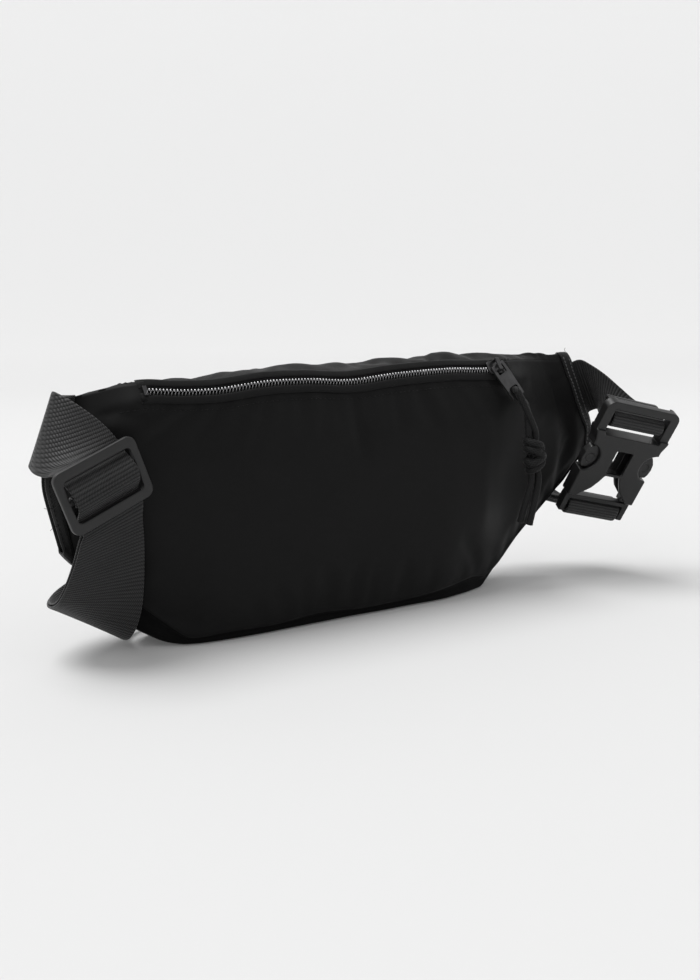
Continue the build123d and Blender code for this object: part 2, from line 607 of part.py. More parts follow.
def dense(ctrl, step):
    """Dense stations, and where each control station lies among them."""
    rows = catmull(ctrl, step)
    where = []
    for c in ctrl:
        gap = [dot(sub(r[0], c[0]), sub(r[0], c[0])) + dot(sub(r[1], c[1]), sub(r[1], c[1])) for r in rows]
        where.append(gap.index(min(gap)))
    return rows, where


LONG, WHERE = dense(WING_TO_GLIDE[:-1] + GLIDE_TO_BUCKLE, 3.5)
put("strap_long", ribbon(LONG))

# Second layer: from the buckle's bar back to the adjuster, always behind the
# first layer, and around the adjuster's middle bar
NORMALS = ribbon_normals(LONG)
first = WHERE[len(WING_TO_GLIDE) - 1 + 1]
final = WHERE[len(WING_TO_GLIDE) - 1 + len(GLIDE_TO_BUCKLE) - 11]
core = [(add(a, mul(n, LAYER_PITCH)), add(b, mul(n, LAYER_PITCH)))
        for (a, b), n in list(zip(LONG, NORMALS))[first:final + 1]]
start = [
    across_glide(-2.5, 1.6), across_glide(-0.2, 2.45), across_glide(2.0, 1.6), across_glide(2.6, -0.3),
    across_glide(1.4, -2.4), across_glide(-1.5, -3.9), across_glide(-6.0, -5.0), across_glide(-12.0, -5.4), across_glide(-18.0, -5.8),
]
end = [across_buckle(-46.0, -10.0), across_buckle(-45.8, -5.5), across_buckle(-44.9, -2.9)]
head = catmull(start + [core[0], core[1]], 2.5)[:-1]
head = [r for r in head if dot(sub(r[0], core[0][0]), sub(r[0], core[0][0])) > 1.0 and dot(sub(r[0], core[1][0]), sub(r[0], core[1][0])) > 1.0]
tail = catmull([core[-2], core[-1]] + end, 2.5)[1:]
tail = [r for r in tail if dot(sub(r[0], core[-1][0]), sub(r[0], core[-1][0])) > 1.0 and dot(sub(r[0], core[-2][0]), sub(r[0], core[-2][0])) > 1.0]
SECOND = head + core + tail
SECOND_N = ribbon_normals(SECOND)
for k in range(len(core)):
    SECOND_N[len(head) + k] = NORMALS[first + k]
put("strap_return", ribbon(SECOND, SECOND_N))


# Belt, short side: right wing -> behind the outer bar -> around the inner bar -> sewn back
tipR = norm((-0.436, 0.0, 0.9))
perpR = (0.9, 0.0, 0.436)
cR = (194.5, -3.5, 123.0)


def right_tip(s, y=0.0):
    c = add(cR, add(mul(perpR, s), (0, y, 0)))
    return (add(c, mul(tipR, H)), sub(c, mul(tipR, H)))


SHORT_CTRL = [
    right_tip(-13.0), right_tip(-8.0), right_tip(-3.0), right_tip(0.0), right_tip(2.5),
    ((192.0, -6.6, 142.2), (209.3, -5.6, 108.2)),
    ((195.0, -12.0, 139.4), (208.0, -9.0, 105.6)),
    ((199.0, -22.0, 133.2), (202.8, -16.0, 102.8)),
    ((203.6, -33.0, 124.2), (195.6, -25.0, 103.2)),
    ((209.4, -44.0, 114.6), (187.0, -34.0, 107.6)),
    across_buckle(37.0, -16.0), across_buckle(36.8, -10.5), across_buckle(36.4, -6.4), across_buckle(35.5, -2.8), across_buckle(34.2, 0.6),
    across_buckle(32.0, 2.8), across_buckle(29.4, 3.5), across_buckle(26.9, 2.9), across_buckle(25.3, 1.0), across_buckle(25.2, -1.3),
    across_buckle(27.0, -3.4), across_buckle(30.0, -4.6), across_buckle(32.4, -6.0),
]
SHORT = catmull(SHORT_CTRL, 2.6)
put("strap_short", ribbon(SHORT))


# ----------------------------------------------------------------------------
# Hard parts in their own local axes: x across, y along, z out
# ----------------------------------------------------------------------------
glide_plane = Plane(origin=GLIDE_C, x_dir=GLIDE_UN, z_dir=GLIDE_N)
buckle_plane = Plane(origin=BUCKLE_C, x_dir=BUCKLE_UN, z_dir=BUCKLE_N)

frame_outer = extrude(RectangleRounded(GLIDE_WIDTH, GLIDE_HEIGHT, 5.0), GLIDE_THICK / 2, both=True)
frame_inner = extrude(RectangleRounded(41.0, 23.0, 2.5), GLIDE_THICK, both=True)
frame = frame_outer - frame_inner
frame = fillet(frame.edges().filter_by(lambda e: abs(abs(e.center().Z) - GLIDE_THICK / 2) < 1e-3 and
                                       max(abs(e.center().X), abs(e.center().Y)) > 0), 0.7)
frame += Cylinder(1.5, 42.0).rotate(Axis.Y, 90)
put("tri_glide", glide_plane.location * frame)

# Female half: a flat housing open at its mouth, with a two-bar frame above it
with BuildSketch() as housing_sk:
    with BuildLine():
        Polyline((-27, 43), (27, 43), (27, 21), (25, 15), (25, -28), (-25, -28), (-25, 15), (-27, 21), (-27, 43))
    make_face()
    with Locations((26.0, 1.6), (-26.0, 1.6)):
        Circle(10.0, mode=Mode.SUBTRACT)
    top_corners = [v for v in housing_sk.vertices() if v.Y > 42]
    fillet(top_corners, 6.0)
housing = extrude(housing_sk.sketch, 5.5, both=True)
housing = chamfer(housing.edges().filter_by(lambda e: abs(abs(e.center().Z) - 5.5) < 1e-3), 0.8)
# the strap end of the frame is thinner than the housing
housing -= Pos(0, 34.5, 5.5) * Box(60, 24, 4.0)
housing -= Pos(0, 34.5, -5.5) * Box(60, 24, 4.0)
housing -= Pos(0, 29, 0) * Box(41, 18, 12)                      # strap window
housing -= Pos(0, 41.5, -3.0) * Box(41, 8, 3.2)                  # thinner outer bar
housing += Pos(0, 28.6, 0) * Cylinder(1.9, 43.0).rotate(Axis.Y, 90)
cavity = Pos(0, -8.0, 0) * Box(44.4, 42.0, 6.4)
housing -= cavity
housing -= Pos(0, 1.3, 0) * Box(12.0, 17.4, 20)                  # centre hole, both faces
with BuildSketch() as notch_sk:
    with BuildLine():
        Polyline((-5.5, -9.4), (5.5, -9.4), (7.5, -14), (11, -20), (16.5, -25), (20.5, -28.5), (-20.5, -28.5), (-16.5, -25), (-11, -20),
                 (-7.5, -14), (-5.5, -9.4))
    make_face()
housing -= extrude(notch_sk.sketch, 10, both=True)
put("buckle_female", buckle_plane.location * housing)

# Male half: strap bar and base; the latch arms stand on the base
base = Pos(0, -35.5, 0) * Box(48.6, 13.4, 6.0)
base -= Pos(0, -36.4, 0) * Box(40.6, 9.4, 12)
base -= Pos(0, -43.0, 0) * Box(40.6, 6.0, 12)
base += Pos(0, -40.3, 0) * Cylinder(1.9, 44.0).rotate(Axis.Y, 90)
base += Pos(0, -30.2, 0) * Box(40.0, 3.0, 4.4)
base = Compound(children=list(base.solids())) if len(base.solids()) > 1 else base
put("buckle_male", buckle_plane.location * base)


def arm(side):
    """A latch arm: a thin spring leg and a rounded press pad with a shoulder."""
    with BuildSketch() as sk:
        with BuildLine():
            Polyline((15.4, -27.6), (18.6, -27.6), (18.9, -12.0), (20.4, -6.9), (24.2, -6.8), (25.7, -4.6), (26.4, -0.5), (25.8, 4.0), (23.4, 8.4), (19.6, 11.0),
                     (16.6, 11.6), (14.6, 10.4), (14.2, 0.0), (15.0, -12.0), (15.4, -27.6))
        make_face()
    s = extrude(sk.sketch, 2.8, both=True)
    # a shallow grip hollow in the pad
    s -= Pos(20.6, 0.5, 2.8) * Cylinder(3.2, 1.2)
    if side < 0:
        s = s.mirror(Plane.YZ)
    return s


put("latch_arm_right", buckle_plane.location * arm(1))
put("latch_arm_left", buckle_plane.location * arm(-1))

# ----------------------------------------------------------------------------
# Write every node in the row frame
# ----------------------------------------------------------------------------
move = Location((-ORIGIN[0], -ORIGIN[1], -ORIGIN[2]))
lo, hi = [1e9] * 3, [-1e9] * 3
for name, shape in NODES.items():
    placed = shape.moved(move)
    export_step(placed, "parts/" + name + ".step")
    if not name.startswith("pull_cord"):
        bb = placed.bounding_box()
        lo = [min(a, b) for a, b in zip(lo, bb.min)]
        hi = [max(a, b) for a, b in zip(hi, bb.max)]
print("box without cord", [round(v, 2) for v in lo], [round(v, 2) for v in hi])
print("middle", [round((a + b) / 2, 3) for a, b in zip(lo, hi)])
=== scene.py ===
import json
import math

import bpy
import numpy as np
from mathutils import Matrix, Vector, noise
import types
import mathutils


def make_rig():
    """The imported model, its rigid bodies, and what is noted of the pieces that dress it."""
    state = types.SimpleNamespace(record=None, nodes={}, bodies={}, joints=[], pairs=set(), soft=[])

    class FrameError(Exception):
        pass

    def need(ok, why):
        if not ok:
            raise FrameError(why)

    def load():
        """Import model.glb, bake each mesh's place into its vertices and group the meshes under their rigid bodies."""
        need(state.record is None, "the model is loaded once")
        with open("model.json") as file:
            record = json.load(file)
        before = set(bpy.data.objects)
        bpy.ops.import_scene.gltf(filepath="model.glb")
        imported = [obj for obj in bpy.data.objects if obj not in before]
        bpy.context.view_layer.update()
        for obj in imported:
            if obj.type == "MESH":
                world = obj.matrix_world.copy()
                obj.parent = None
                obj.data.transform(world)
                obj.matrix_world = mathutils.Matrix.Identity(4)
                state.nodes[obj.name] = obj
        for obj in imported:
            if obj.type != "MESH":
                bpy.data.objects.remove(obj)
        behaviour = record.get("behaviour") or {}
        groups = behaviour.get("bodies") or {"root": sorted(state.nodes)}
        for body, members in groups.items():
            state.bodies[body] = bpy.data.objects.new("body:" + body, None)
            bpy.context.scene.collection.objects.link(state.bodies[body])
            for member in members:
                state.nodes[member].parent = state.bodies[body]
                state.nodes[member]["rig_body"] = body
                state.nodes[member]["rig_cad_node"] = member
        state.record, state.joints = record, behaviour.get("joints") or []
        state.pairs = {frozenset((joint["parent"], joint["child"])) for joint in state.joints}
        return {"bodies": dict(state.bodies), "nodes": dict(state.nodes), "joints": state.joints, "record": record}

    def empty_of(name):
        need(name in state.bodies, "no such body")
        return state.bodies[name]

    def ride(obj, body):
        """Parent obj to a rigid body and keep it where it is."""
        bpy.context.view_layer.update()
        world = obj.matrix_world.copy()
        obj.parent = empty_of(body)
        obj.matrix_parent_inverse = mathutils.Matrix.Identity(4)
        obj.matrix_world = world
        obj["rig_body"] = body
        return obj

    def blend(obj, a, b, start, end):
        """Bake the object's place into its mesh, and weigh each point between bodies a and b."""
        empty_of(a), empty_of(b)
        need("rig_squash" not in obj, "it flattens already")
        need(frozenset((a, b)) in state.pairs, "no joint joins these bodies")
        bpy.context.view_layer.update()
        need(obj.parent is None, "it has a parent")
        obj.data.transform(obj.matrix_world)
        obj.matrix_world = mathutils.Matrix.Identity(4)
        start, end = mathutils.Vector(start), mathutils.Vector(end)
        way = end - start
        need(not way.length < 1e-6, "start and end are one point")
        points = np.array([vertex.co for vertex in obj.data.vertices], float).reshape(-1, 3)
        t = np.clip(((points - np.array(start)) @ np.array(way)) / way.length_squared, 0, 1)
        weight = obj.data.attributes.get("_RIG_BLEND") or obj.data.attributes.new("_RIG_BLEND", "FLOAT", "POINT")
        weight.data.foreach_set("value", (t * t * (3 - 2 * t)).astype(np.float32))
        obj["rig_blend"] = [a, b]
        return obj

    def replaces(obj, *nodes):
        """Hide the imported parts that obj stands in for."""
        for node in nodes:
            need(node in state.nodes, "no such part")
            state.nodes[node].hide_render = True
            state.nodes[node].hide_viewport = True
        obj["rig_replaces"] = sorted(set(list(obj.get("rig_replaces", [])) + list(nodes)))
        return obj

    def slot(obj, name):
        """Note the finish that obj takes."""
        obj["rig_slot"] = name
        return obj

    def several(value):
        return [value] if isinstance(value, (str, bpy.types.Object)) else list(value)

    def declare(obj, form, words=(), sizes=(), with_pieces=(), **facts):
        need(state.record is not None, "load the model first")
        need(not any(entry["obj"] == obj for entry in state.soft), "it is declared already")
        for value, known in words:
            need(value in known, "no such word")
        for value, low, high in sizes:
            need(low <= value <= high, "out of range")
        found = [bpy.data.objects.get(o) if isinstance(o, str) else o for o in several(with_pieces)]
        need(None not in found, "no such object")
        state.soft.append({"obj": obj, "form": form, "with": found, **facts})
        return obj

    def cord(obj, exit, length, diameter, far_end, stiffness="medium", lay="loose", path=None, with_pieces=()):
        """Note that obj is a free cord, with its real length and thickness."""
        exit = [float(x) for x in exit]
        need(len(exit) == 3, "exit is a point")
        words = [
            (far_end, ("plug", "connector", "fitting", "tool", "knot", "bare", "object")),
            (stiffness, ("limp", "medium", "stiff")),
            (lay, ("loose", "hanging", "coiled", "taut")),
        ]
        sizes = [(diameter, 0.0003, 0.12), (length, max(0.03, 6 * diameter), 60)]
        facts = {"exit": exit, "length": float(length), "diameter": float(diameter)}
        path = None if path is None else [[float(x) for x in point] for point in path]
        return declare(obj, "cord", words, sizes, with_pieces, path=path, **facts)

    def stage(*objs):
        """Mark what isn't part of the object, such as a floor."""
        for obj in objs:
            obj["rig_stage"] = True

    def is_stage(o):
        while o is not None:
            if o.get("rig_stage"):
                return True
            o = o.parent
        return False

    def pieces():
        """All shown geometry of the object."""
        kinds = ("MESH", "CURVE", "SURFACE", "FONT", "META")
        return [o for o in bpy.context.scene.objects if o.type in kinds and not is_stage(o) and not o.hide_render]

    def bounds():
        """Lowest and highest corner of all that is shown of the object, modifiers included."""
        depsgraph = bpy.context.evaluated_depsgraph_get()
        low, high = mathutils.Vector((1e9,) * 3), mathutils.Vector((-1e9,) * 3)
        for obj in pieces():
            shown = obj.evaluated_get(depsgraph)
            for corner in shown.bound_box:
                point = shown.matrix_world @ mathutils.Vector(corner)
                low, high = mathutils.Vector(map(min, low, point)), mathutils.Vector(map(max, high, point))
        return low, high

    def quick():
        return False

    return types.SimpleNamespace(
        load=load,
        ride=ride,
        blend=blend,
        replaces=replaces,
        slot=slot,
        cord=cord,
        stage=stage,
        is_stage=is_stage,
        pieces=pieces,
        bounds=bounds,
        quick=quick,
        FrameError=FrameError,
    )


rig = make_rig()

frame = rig.load()
CAD_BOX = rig.bounds()
scene = bpy.context.scene
scene.view_settings.view_transform = "Standard"
scene.view_settings.look = "None"

# ----------------------------------------------------------------------------
# Shapes are worked out in millimetres in the pack's own drawing frame, then
# moved to the row frame in metres.
# ----------------------------------------------------------------------------
ORIGIN = np.array((17.106, -15.891, 0.0))


def row(p):
    return (np.asarray(p, float) - ORIGIN) / 1000.0


def norm(a):
    a = np.asarray(a, float)
    return a / np.linalg.norm(a)


# ----------------------------------------------------------------------------
# Camera
# ----------------------------------------------------------------------------
cam_data = bpy.data.cameras.new("camera")
cam_data.lens = 44.08
cam_data.sensor_width = 36.0
cam_data.clip_start = 0.01
cam_data.clip_end = 50.0
camera = bpy.data.objects.new("camera", cam_data)
scene.collection.objects.link(camera)
fw = norm((0.5298, 0.8317, -0.1651))
right = norm((0.8420, -0.5395, -0.0170))
right = norm(right - fw * right.dot(fw))
up = np.cross(right, fw)
pos = row((-371.7, -602.2, 191.5))
camera.matrix_world = Matrix(((right[0], up[0], -fw[0], pos[0]), (right[1], up[1], -fw[1], pos[1]),
                              (right[2], up[2], -fw[2], pos[2]), (0, 0, 0, 1)))
scene.camera = camera


# ----------------------------------------------------------------------------
# Materials
# ----------------------------------------------------------------------------
class Mat:
    """A material's node tree with short helpers."""

    def __init__(self, name, rough=0.6, metal=0.0, sheen=0.0, sheen_rough=0.4, coat=0.0, ior=1.5, spec=0.5):
        self.m = bpy.data.materials.new(name)
        self.m.use_nodes = True
        self.t = self.m.node_tree
        self.t.nodes.clear()
        self.out = self.t.nodes.new("ShaderNodeOutputMaterial")
        self.b = self.t.nodes.new("ShaderNodeBsdfPrincipled")
        self.t.links.new(self.b.outputs[0], self.out.inputs[0])
        self.b.inputs["Roughness"].default_value = rough
        self.b.inputs["Metallic"].default_value = metal
        self.b.inputs["Sheen Weight"].default_value = sheen
        self.b.inputs["Sheen Roughness"].default_value = sheen_rough
        self.b.inputs["Coat Weight"].default_value = coat
        self.b.inputs["IOR"].default_value = ior
        self.b.inputs["Specular IOR Level"].default_value = spec

    def node(self, kind, **values):
        n = self.t.nodes.new("ShaderNode" + kind)
        for k, v in values.items():
            setattr(n, k, v)
        return n

    def link(self, a, b):
        self.t.links.new(a, b)

    def math(self, op, a, b=None, c=None):
        n = self.node("Math", operation=op)
        for i, v in enumerate((a, b, c)):
            if v is None:
                continue
            if isinstance(v, (int, float)):
                n.inputs[i].default_value = v
            else:
                self.link(v, n.inputs[i])
        return n.outputs[0]

    def mm(self):
        """Object coordinates in millimetres, as three sockets."""
        tc = self.node("TexCoord")
        s = self.node("SeparateXYZ")
        self.link(tc.outputs["Object"], s.inputs[0])
        return [self.math("MULTIPLY", s.outputs[i], 1000.0) for i in range(3)]

    def uv(self):
        """The mesh's own lengthwise and crosswise coordinates, in millimetres."""
        tc = self.node("UVMap", uv_map="mm")
        s = self.node("SeparateXYZ")
        self.link(tc.outputs[0], s.inputs[0])
        return s.outputs[0], s.outputs[1]

    def noise(self, scale, detail=2.0, rough=0.5, vector=None):
        n = self.node("TexNoise")
        n.inputs["Scale"].default_value = scale
        n.inputs["Detail"].default_value = detail
        n.inputs["Roughness"].default_value = rough
        if vector is None:
            tc = self.node("TexCoord")
            vector = tc.outputs["Object"]
        self.link(vector, n.inputs["Vector"])
        return n.outputs[0]

    def ramp(self, fac, stops):
        r = self.node("ValToRGB")
        el = r.color_ramp.elements
        while len(el) < len(stops):
            el.new(0.5)
        for e, (p, c) in zip(el, stops):
            e.position = p
            e.color = (c[0], c[1], c[2], 1.0)
        self.link(fac, r.inputs[0])
        return r.outputs[0]

    def color(self, socket):
        self.link(socket, self.b.inputs["Base Color"])

    def rough(self, socket):
        self.link(socket, self.b.inputs["Roughness"])

    def bump(self, height, strength, distance_mm):
        n = self.node("Bump")
        n.inputs["Strength"].default_value = strength
        n.inputs["Distance"].default_value = distance_mm / 1000.0
        self.link(height, n.inputs["Height"])
        self.link(n.outputs[0], self.b.inputs["Normal"])


def grey(v, warm=1.0):
    return (v * warm, v, v * 1.02)


def fabric_material(name, lo, hi, pitch=0.55, sheen=0.03, rough=0.55, weave=0.35, spec=0.13):
    m = Mat(name, rough=rough, sheen=sheen, sheen_rough=0.45, spec=spec)
    x, y, z = m.mm()
    yz = m.math("ADD", y, z)
    k = 2 * math.pi / pitch
    a = m.math("SINE", m.math("MULTIPLY", x, k))
    b = m.math("SINE", m.math("MULTIPLY", yz, k))
    w = m.math("MULTIPLY", a, b)
    fine = m.noise(900.0, 3.0, 0.6)
    broad = m.noise(28.0, 3.0, 0.55)
    h = m.math("ADD", m.math("MULTIPLY", w, 0.5), fine)
    shade = m.math("ADD", m.math("MULTIPLY", w, 0.10), m.math("ADD", m.math("MULTIPLY", fine, 0.3), m.math("MULTIPLY", broad, 0.7)))
    m.color(m.ramp(shade, [(0.25, grey(lo)), (0.75, grey(hi))]))
    m.rough(m.math("ADD", m.math("MULTIPLY", broad, 0.16), rough - 0.08))
    m.bump(h, weave, 0.05)
    return m


def webbing_material(name, lo, hi, pitch=1.8, sheen=0.10, rough=0.48):
    m = Mat(name, rough=rough, sheen=sheen, sheen_rough=0.35, spec=0.26)
    s, w = m.uv()
    # ribs run across the belt, each made of slanted yarns
    rib = m.math("ABSOLUTE", m.math("SINE", m.math("MULTIPLY", s, math.pi / pitch)))
    slant = m.math("ADD", m.math("MULTIPLY", w, 2 * math.pi / 0.95), m.math("MULTIPLY", s, 2 * math.pi / pitch))
    yarn = m.math("SINE", slant)
    fine = m.noise(1500.0, 2.0, 0.6)
    broad = m.noise(60.0, 2.0, 0.5)
    h = m.math("ADD", m.math("MULTIPLY", rib, 0.7), m.math("ADD", m.math("MULTIPLY", yarn, 0.22), m.math("MULTIPLY", fine, 0.25)))
    # colour follows the rib height: crests painted lighter and grooves darker, a painted highlight on the ribs and
    # painted shade between them (also on the binding tape)
    c = m.math("ADD", m.math("MULTIPLY", h, 0.75), m.math("MULTIPLY", broad, 0.25))
    m.color(m.ramp(c, [(0.15, grey(lo)), (0.5, grey(lo * 0.7 + hi * 0.3)), (0.85, grey(hi))]))
    m.rough(m.math("ADD", m.math("MULTIPLY", broad, 0.2), rough - 0.1))
    m.bump(h, 1.0, 0.34)
    return m


def tape_material(name, lo, hi):
    m = Mat(name, rough=0.7, sheen=0.05, spec=0.15)
    s, w = m.uv()
    a = m.math("SINE", m.math("MULTIPLY", s, 2 * math.pi / 0.7))
    b = m.math("SINE", m.math("MULTIPLY", m.math("ADD", w, m.math("MULTIPLY", s, 0.6)), 2 * math.pi / 0.8))
    h = m.math("ADD", m.math("MULTIPLY", a, 0.5), m.math("MULTIPLY", b, 0.5))
    fine = m.noise(1400.0, 2.0, 0.6)
    m.color(m.ramp(m.math("ADD", m.math("MULTIPLY", h, 0.25), fine), [(0.3, grey(lo)), (0.8, grey(hi))]))
    m.bump(h, 0.45, 0.08)
    return m


def plastic_material(name, value, rough, grain=0.12):
    m = Mat(name, rough=rough, spec=0.38, coat=0.0)
    fine = m.noise(1100.0, 3.0, 0.6)
    broad = m.noise(45.0, 4.0, 0.6)
    wear = m.noise(190.0, 5.0, 0.75)
    m.color(m.ramp(m.math("ADD", m.math("MULTIPLY", broad, 0.7), m.math("MULTIPLY", wear, 0.3)),
                   [(0.3, grey(value * 0.8)), (0.72, grey(value * 1.25))]))
    m.rough(m.math("ADD", m.math("MULTIPLY", wear, 0.16), m.math("ADD", m.math("MULTIPLY", broad, 0.10), rough - 0.12)))
    m.bump(fine, grain, 0.03)
    return m


def metal_material(name, value, rough, metal=1.0, grain=0.08):
    m = Mat(name, rough=rough, metal=metal, spec=0.5)
    fine = m.noise(1600.0, 3.0, 0.6)
    broad = m.noise(160.0, 4.0, 0.65)
    m.color(m.ramp(broad, [(0.3, grey(value * 0.75)), (0.7, grey(value * 1.2, 1.01))]))
    m.rough(m.math("ADD", m.math("MULTIPLY", broad, 0.18), rough - 0.08))
    m.bump(fine, grain, 0.02)
    return m


def cord_material(name, lo, hi):
    m = Mat(name, rough=0.6, sheen=0.08, sheen_rough=0.4, spec=0.16)
    s, w = m.uv()
    # w is the angle round the cord in turns
    a = m.math("SINE", m.math("ADD", m.math("MULTIPLY", w, 2 * math.pi * 8), m.math("MULTIPLY", s, 2 * math.pi / 1.9)))
    b = m.math("SINE", m.math("SUBTRACT", m.math("MULTIPLY", w, 2 * math.pi * 8), m.math("MULTIPLY", s, 2 * math.pi / 1.9)))
    h = m.math("MAXIMUM", a, b)
    fine = m.noise(2200.0, 2.0, 0.6)
    hh = m.math("ADD", m.math("MULTIPLY", h, 0.5), m.math("MULTIPLY", fine, 0.35))
    # colour follows the braid height: crossing yarns painted lighter and grooves darker, painted highlight and painted
    # shade
    m.color(m.ramp(hh, [(0.1, grey(lo)), (0.8, grey(hi))]))
    m.bump(hh, 0.5, 0.10)
    return m


MAT = {
    "shell_fabric": fabric_material("pack_nylon", 0.0028, 0.0061).m,
    # the gusset is the shell nylon painted darker: painted shade on the pack's underside
    "gusset_fabric_painted_shade": fabric_material("gusset_nylon_painted_shade", 0.0018, 0.0036, rough=0.7, sheen=0.02, spec=0.08).m,
    "webbing": webbing_material("belt_webbing", 0.0015, 0.034).m,
    "binding_tape": webbing_material("binding_weave", 0.002, 0.012, pitch=0.9, sheen=0.05).m,
    "zip_tape": tape_material("zip_tape_knit", 0.002, 0.006).m,
    # the upper row's teeth are painted several times lighter than the lower row's dark nickel: a painted highlight for
    # the light from above
    "zip_teeth": metal_material("zip_teeth_nickel_painted_highlight", 0.42, 0.22).m,
    "zip_teeth_dark": metal_material("zip_teeth_nickel_low", 0.075, 0.26).m,
    "zip_metal": metal_material("zip_hardware", 0.075, 0.30, metal=0.85).m,
    "buckle_plastic": plastic_material("buckle_acetal", 0.009, 0.34).m,
    "adjuster_plastic": plastic_material("adjuster_acetal", 0.016, 0.42).m,
    "cord": cord_material("cord_braid", 0.003, 0.017).m,
    "thread": fabric_material("sewing_thread", 0.003, 0.010, pitch=0.3, sheen=0.05).m,
    # the binding thread painted pale: a painted highlight on the right wing's stitches, the same thread as the dark
    # left ones
    "thread_painted_highlight": fabric_material("binding_thread_painted_highlight", 0.060, 0.130, pitch=0.3, sheen=0.15, spec=0.3).m,
}


def set_mat(obj, mat):
    obj.data.materials.clear()
    obj.data.materials.append(mat)


# ----------------------------------------------------------------------------
# Stage
# ----------------------------------------------------------------------------
FLOOR, SWEEP, WALL, GLOW = 0.576, 0.515, 0.915, 0.20


def stage_sweep():
    """A pale floor that curves up into a backdrop, square to the camera's direction."""
    d = norm((fw[0], fw[1], 0.0))
    side = np.array((-d[1], d[0], 0.0))
    prof = [(-3.5, 0.0)] + [(x, 0.0) for x in (-1.0, 0.5, 1.5)]
    for k in range(1, 13):
        a = math.pi / 2 * k / 12
        prof.append((1.5 + 1.6 * math.sin(a), 1.6 - 1.6 * math.cos(a)))
    prof.append((3.1, 5.0))
    verts, faces = [], []
    for x, z in prof:
        for s in (-6.0, 6.0):
            verts.append(tuple(d * x + side * s + np.array((0, 0, z - 0.0002))))
    for i in range(len(prof) - 1):
        faces.append((2 * i, 2 * i + 1, 2 * i + 3, 2 * i + 2))
    me = bpy.data.meshes.new("floor_sweep")
    me.from_pydata(verts, [], faces)
    o = bpy.data.objects.new("floor_sweep", me)
    scene.collection.objects.link(o)
    for p in me.polygons:
        p.use_smooth = True
    m = Mat("floor_paper", rough=0.95, spec=0.0)
    geo = m.node("NewGeometry")
    sep = m.node("SeparateXYZ")
    m.link(geo.outputs["Normal"], sep.inputs[0])
    m.color(m.ramp(sep.outputs[2], [(0.0, (WALL, WALL, WALL)), (0.96, (SWEEP, SWEEP, SWEEP)), (1.0, (FLOOR, FLOOR, FLOOR))]))
    m.link(m.ramp(sep.outputs[2], [(0.0, (1.0, 1.0, 1.0)), (0.96, (1.0, 1.0, 1.0)), (1.0, (0.3, 0.3, 0.3))]), m.b.inputs["Emission Color"])
    m.b.inputs["Emission Strength"].default_value = GLOW
    set_mat(o, m.m)
    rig.stage(o)


stage_sweep()
world = bpy.data.worlds.new("studio")
world.use_nodes = True
bg = world.node_tree.nodes["Background"]
bg.inputs[0].default_value = (1.0, 1.0, 1.0, 1.0)
bg.inputs[1].default_value = 0.40
bg_seen = world.node_tree.nodes.new("ShaderNodeBackground")
bg_seen.inputs[0].default_value = (1.0, 1.0, 1.0, 1.0)
bg_seen.inputs[1].default_value = 0.863
ray = world.node_tree.nodes.new("ShaderNodeLightPath")
mix = world.node_tree.nodes.new("ShaderNodeMixShader")
world.node_tree.links.new(ray.outputs["Is Camera Ray"], mix.inputs[0])
world.node_tree.links.new(bg.outputs[0], mix.inputs[1])
world.node_tree.links.new(bg_seen.outputs[0], mix.inputs[2])
world.node_tree.links.new(mix.outputs[0], world.node_tree.nodes["World Output"].inputs[0])
scene.world = world


def sun(name, towards, strength, angle):
    ld = bpy.data.lights.new(name, "SUN")
    ld.energy = strength
    ld.angle = math.radians(angle)
    o = bpy.data.objects.new(name, ld)
    o.rotation_euler = (-Vector(towards)).to_track_quat("-Z", "Y").to_euler()
    scene.collection.objects.link(o)
    return o


sun("top_soft", (-0.25, 0.25, 1.0), 2.6, 40.0)
sun("left_soft", (-1.0, -0.25, 0.75), 0.7, 60.0)
sun("right_soft", (1.0, -0.9, 0.8), 0.2, 50.0)


# ----------------------------------------------------------------------------
# Mesh helpers
# ----------------------------------------------------------------------------
def make(name, verts_mm, faces, uvs=None, smooth=True, in_row=False):
    """A mesh object from points in millimetres of the drawing frame."""
    v = np.asarray(verts_mm, float)
    v = v if in_row else row(v)
    me = bpy.data.meshes.new(name)
    me.from_pydata([tuple(p) for p in v], [], [tuple(f) for f in faces])
    me.validate(clean_customdata=False)
    if uvs is not None:
        layer = me.uv_layers.new(name="mm")
        uv = np.asarray(uvs, float)
        idx = np.zeros(len(me.loops), int)
        me.loops.foreach_get("vertex_index", idx)
        layer.data.foreach_set("uv", uv[idx].astype(np.float32).ravel())
    if smooth:
        me.polygons.foreach_set("use_smooth", [True] * len(me.polygons))
    me.update()
    o = bpy.data.objects.new(name, me)
    scene.collection.objects.link(o)
    return o


def fix_normals(o):
    import bmesh
    bm = bmesh.new()
    bm.from_mesh(o.data)
    bmesh.ops.recalc_face_normals(bm, faces=bm.faces)
    bm.to_mesh(o.data)
    bm.free()
    o.data.update()


def bake(o):
    """Applies an object's modifiers to its mesh."""
    bpy.context.view_layer.update()
    dg = bpy.context.evaluated_depsgraph_get()
    me = bpy.data.meshes.new_from_object(o.evaluated_get(dg), preserve_all_data_layers=True, depsgraph=dg)
    o.modifiers.clear()
    old = o.data
    o.data = me
    bpy.data.meshes.remove(old)


def piece(o, body, slot, mat, nodes=()):
    set_mat(o, mat)
    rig.ride(o, body)
    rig.slot(o, slot)
    if nodes:
        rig.replaces(o, *nodes)
    return o


def nz(p, scale, seed=0.0):
    """Smooth noise, about -1 to 1, at a point in millimetres."""
    return noise.noise(Vector((p[0] / scale + seed, p[1] / scale + seed * 0.7, p[2] / scale - seed)))


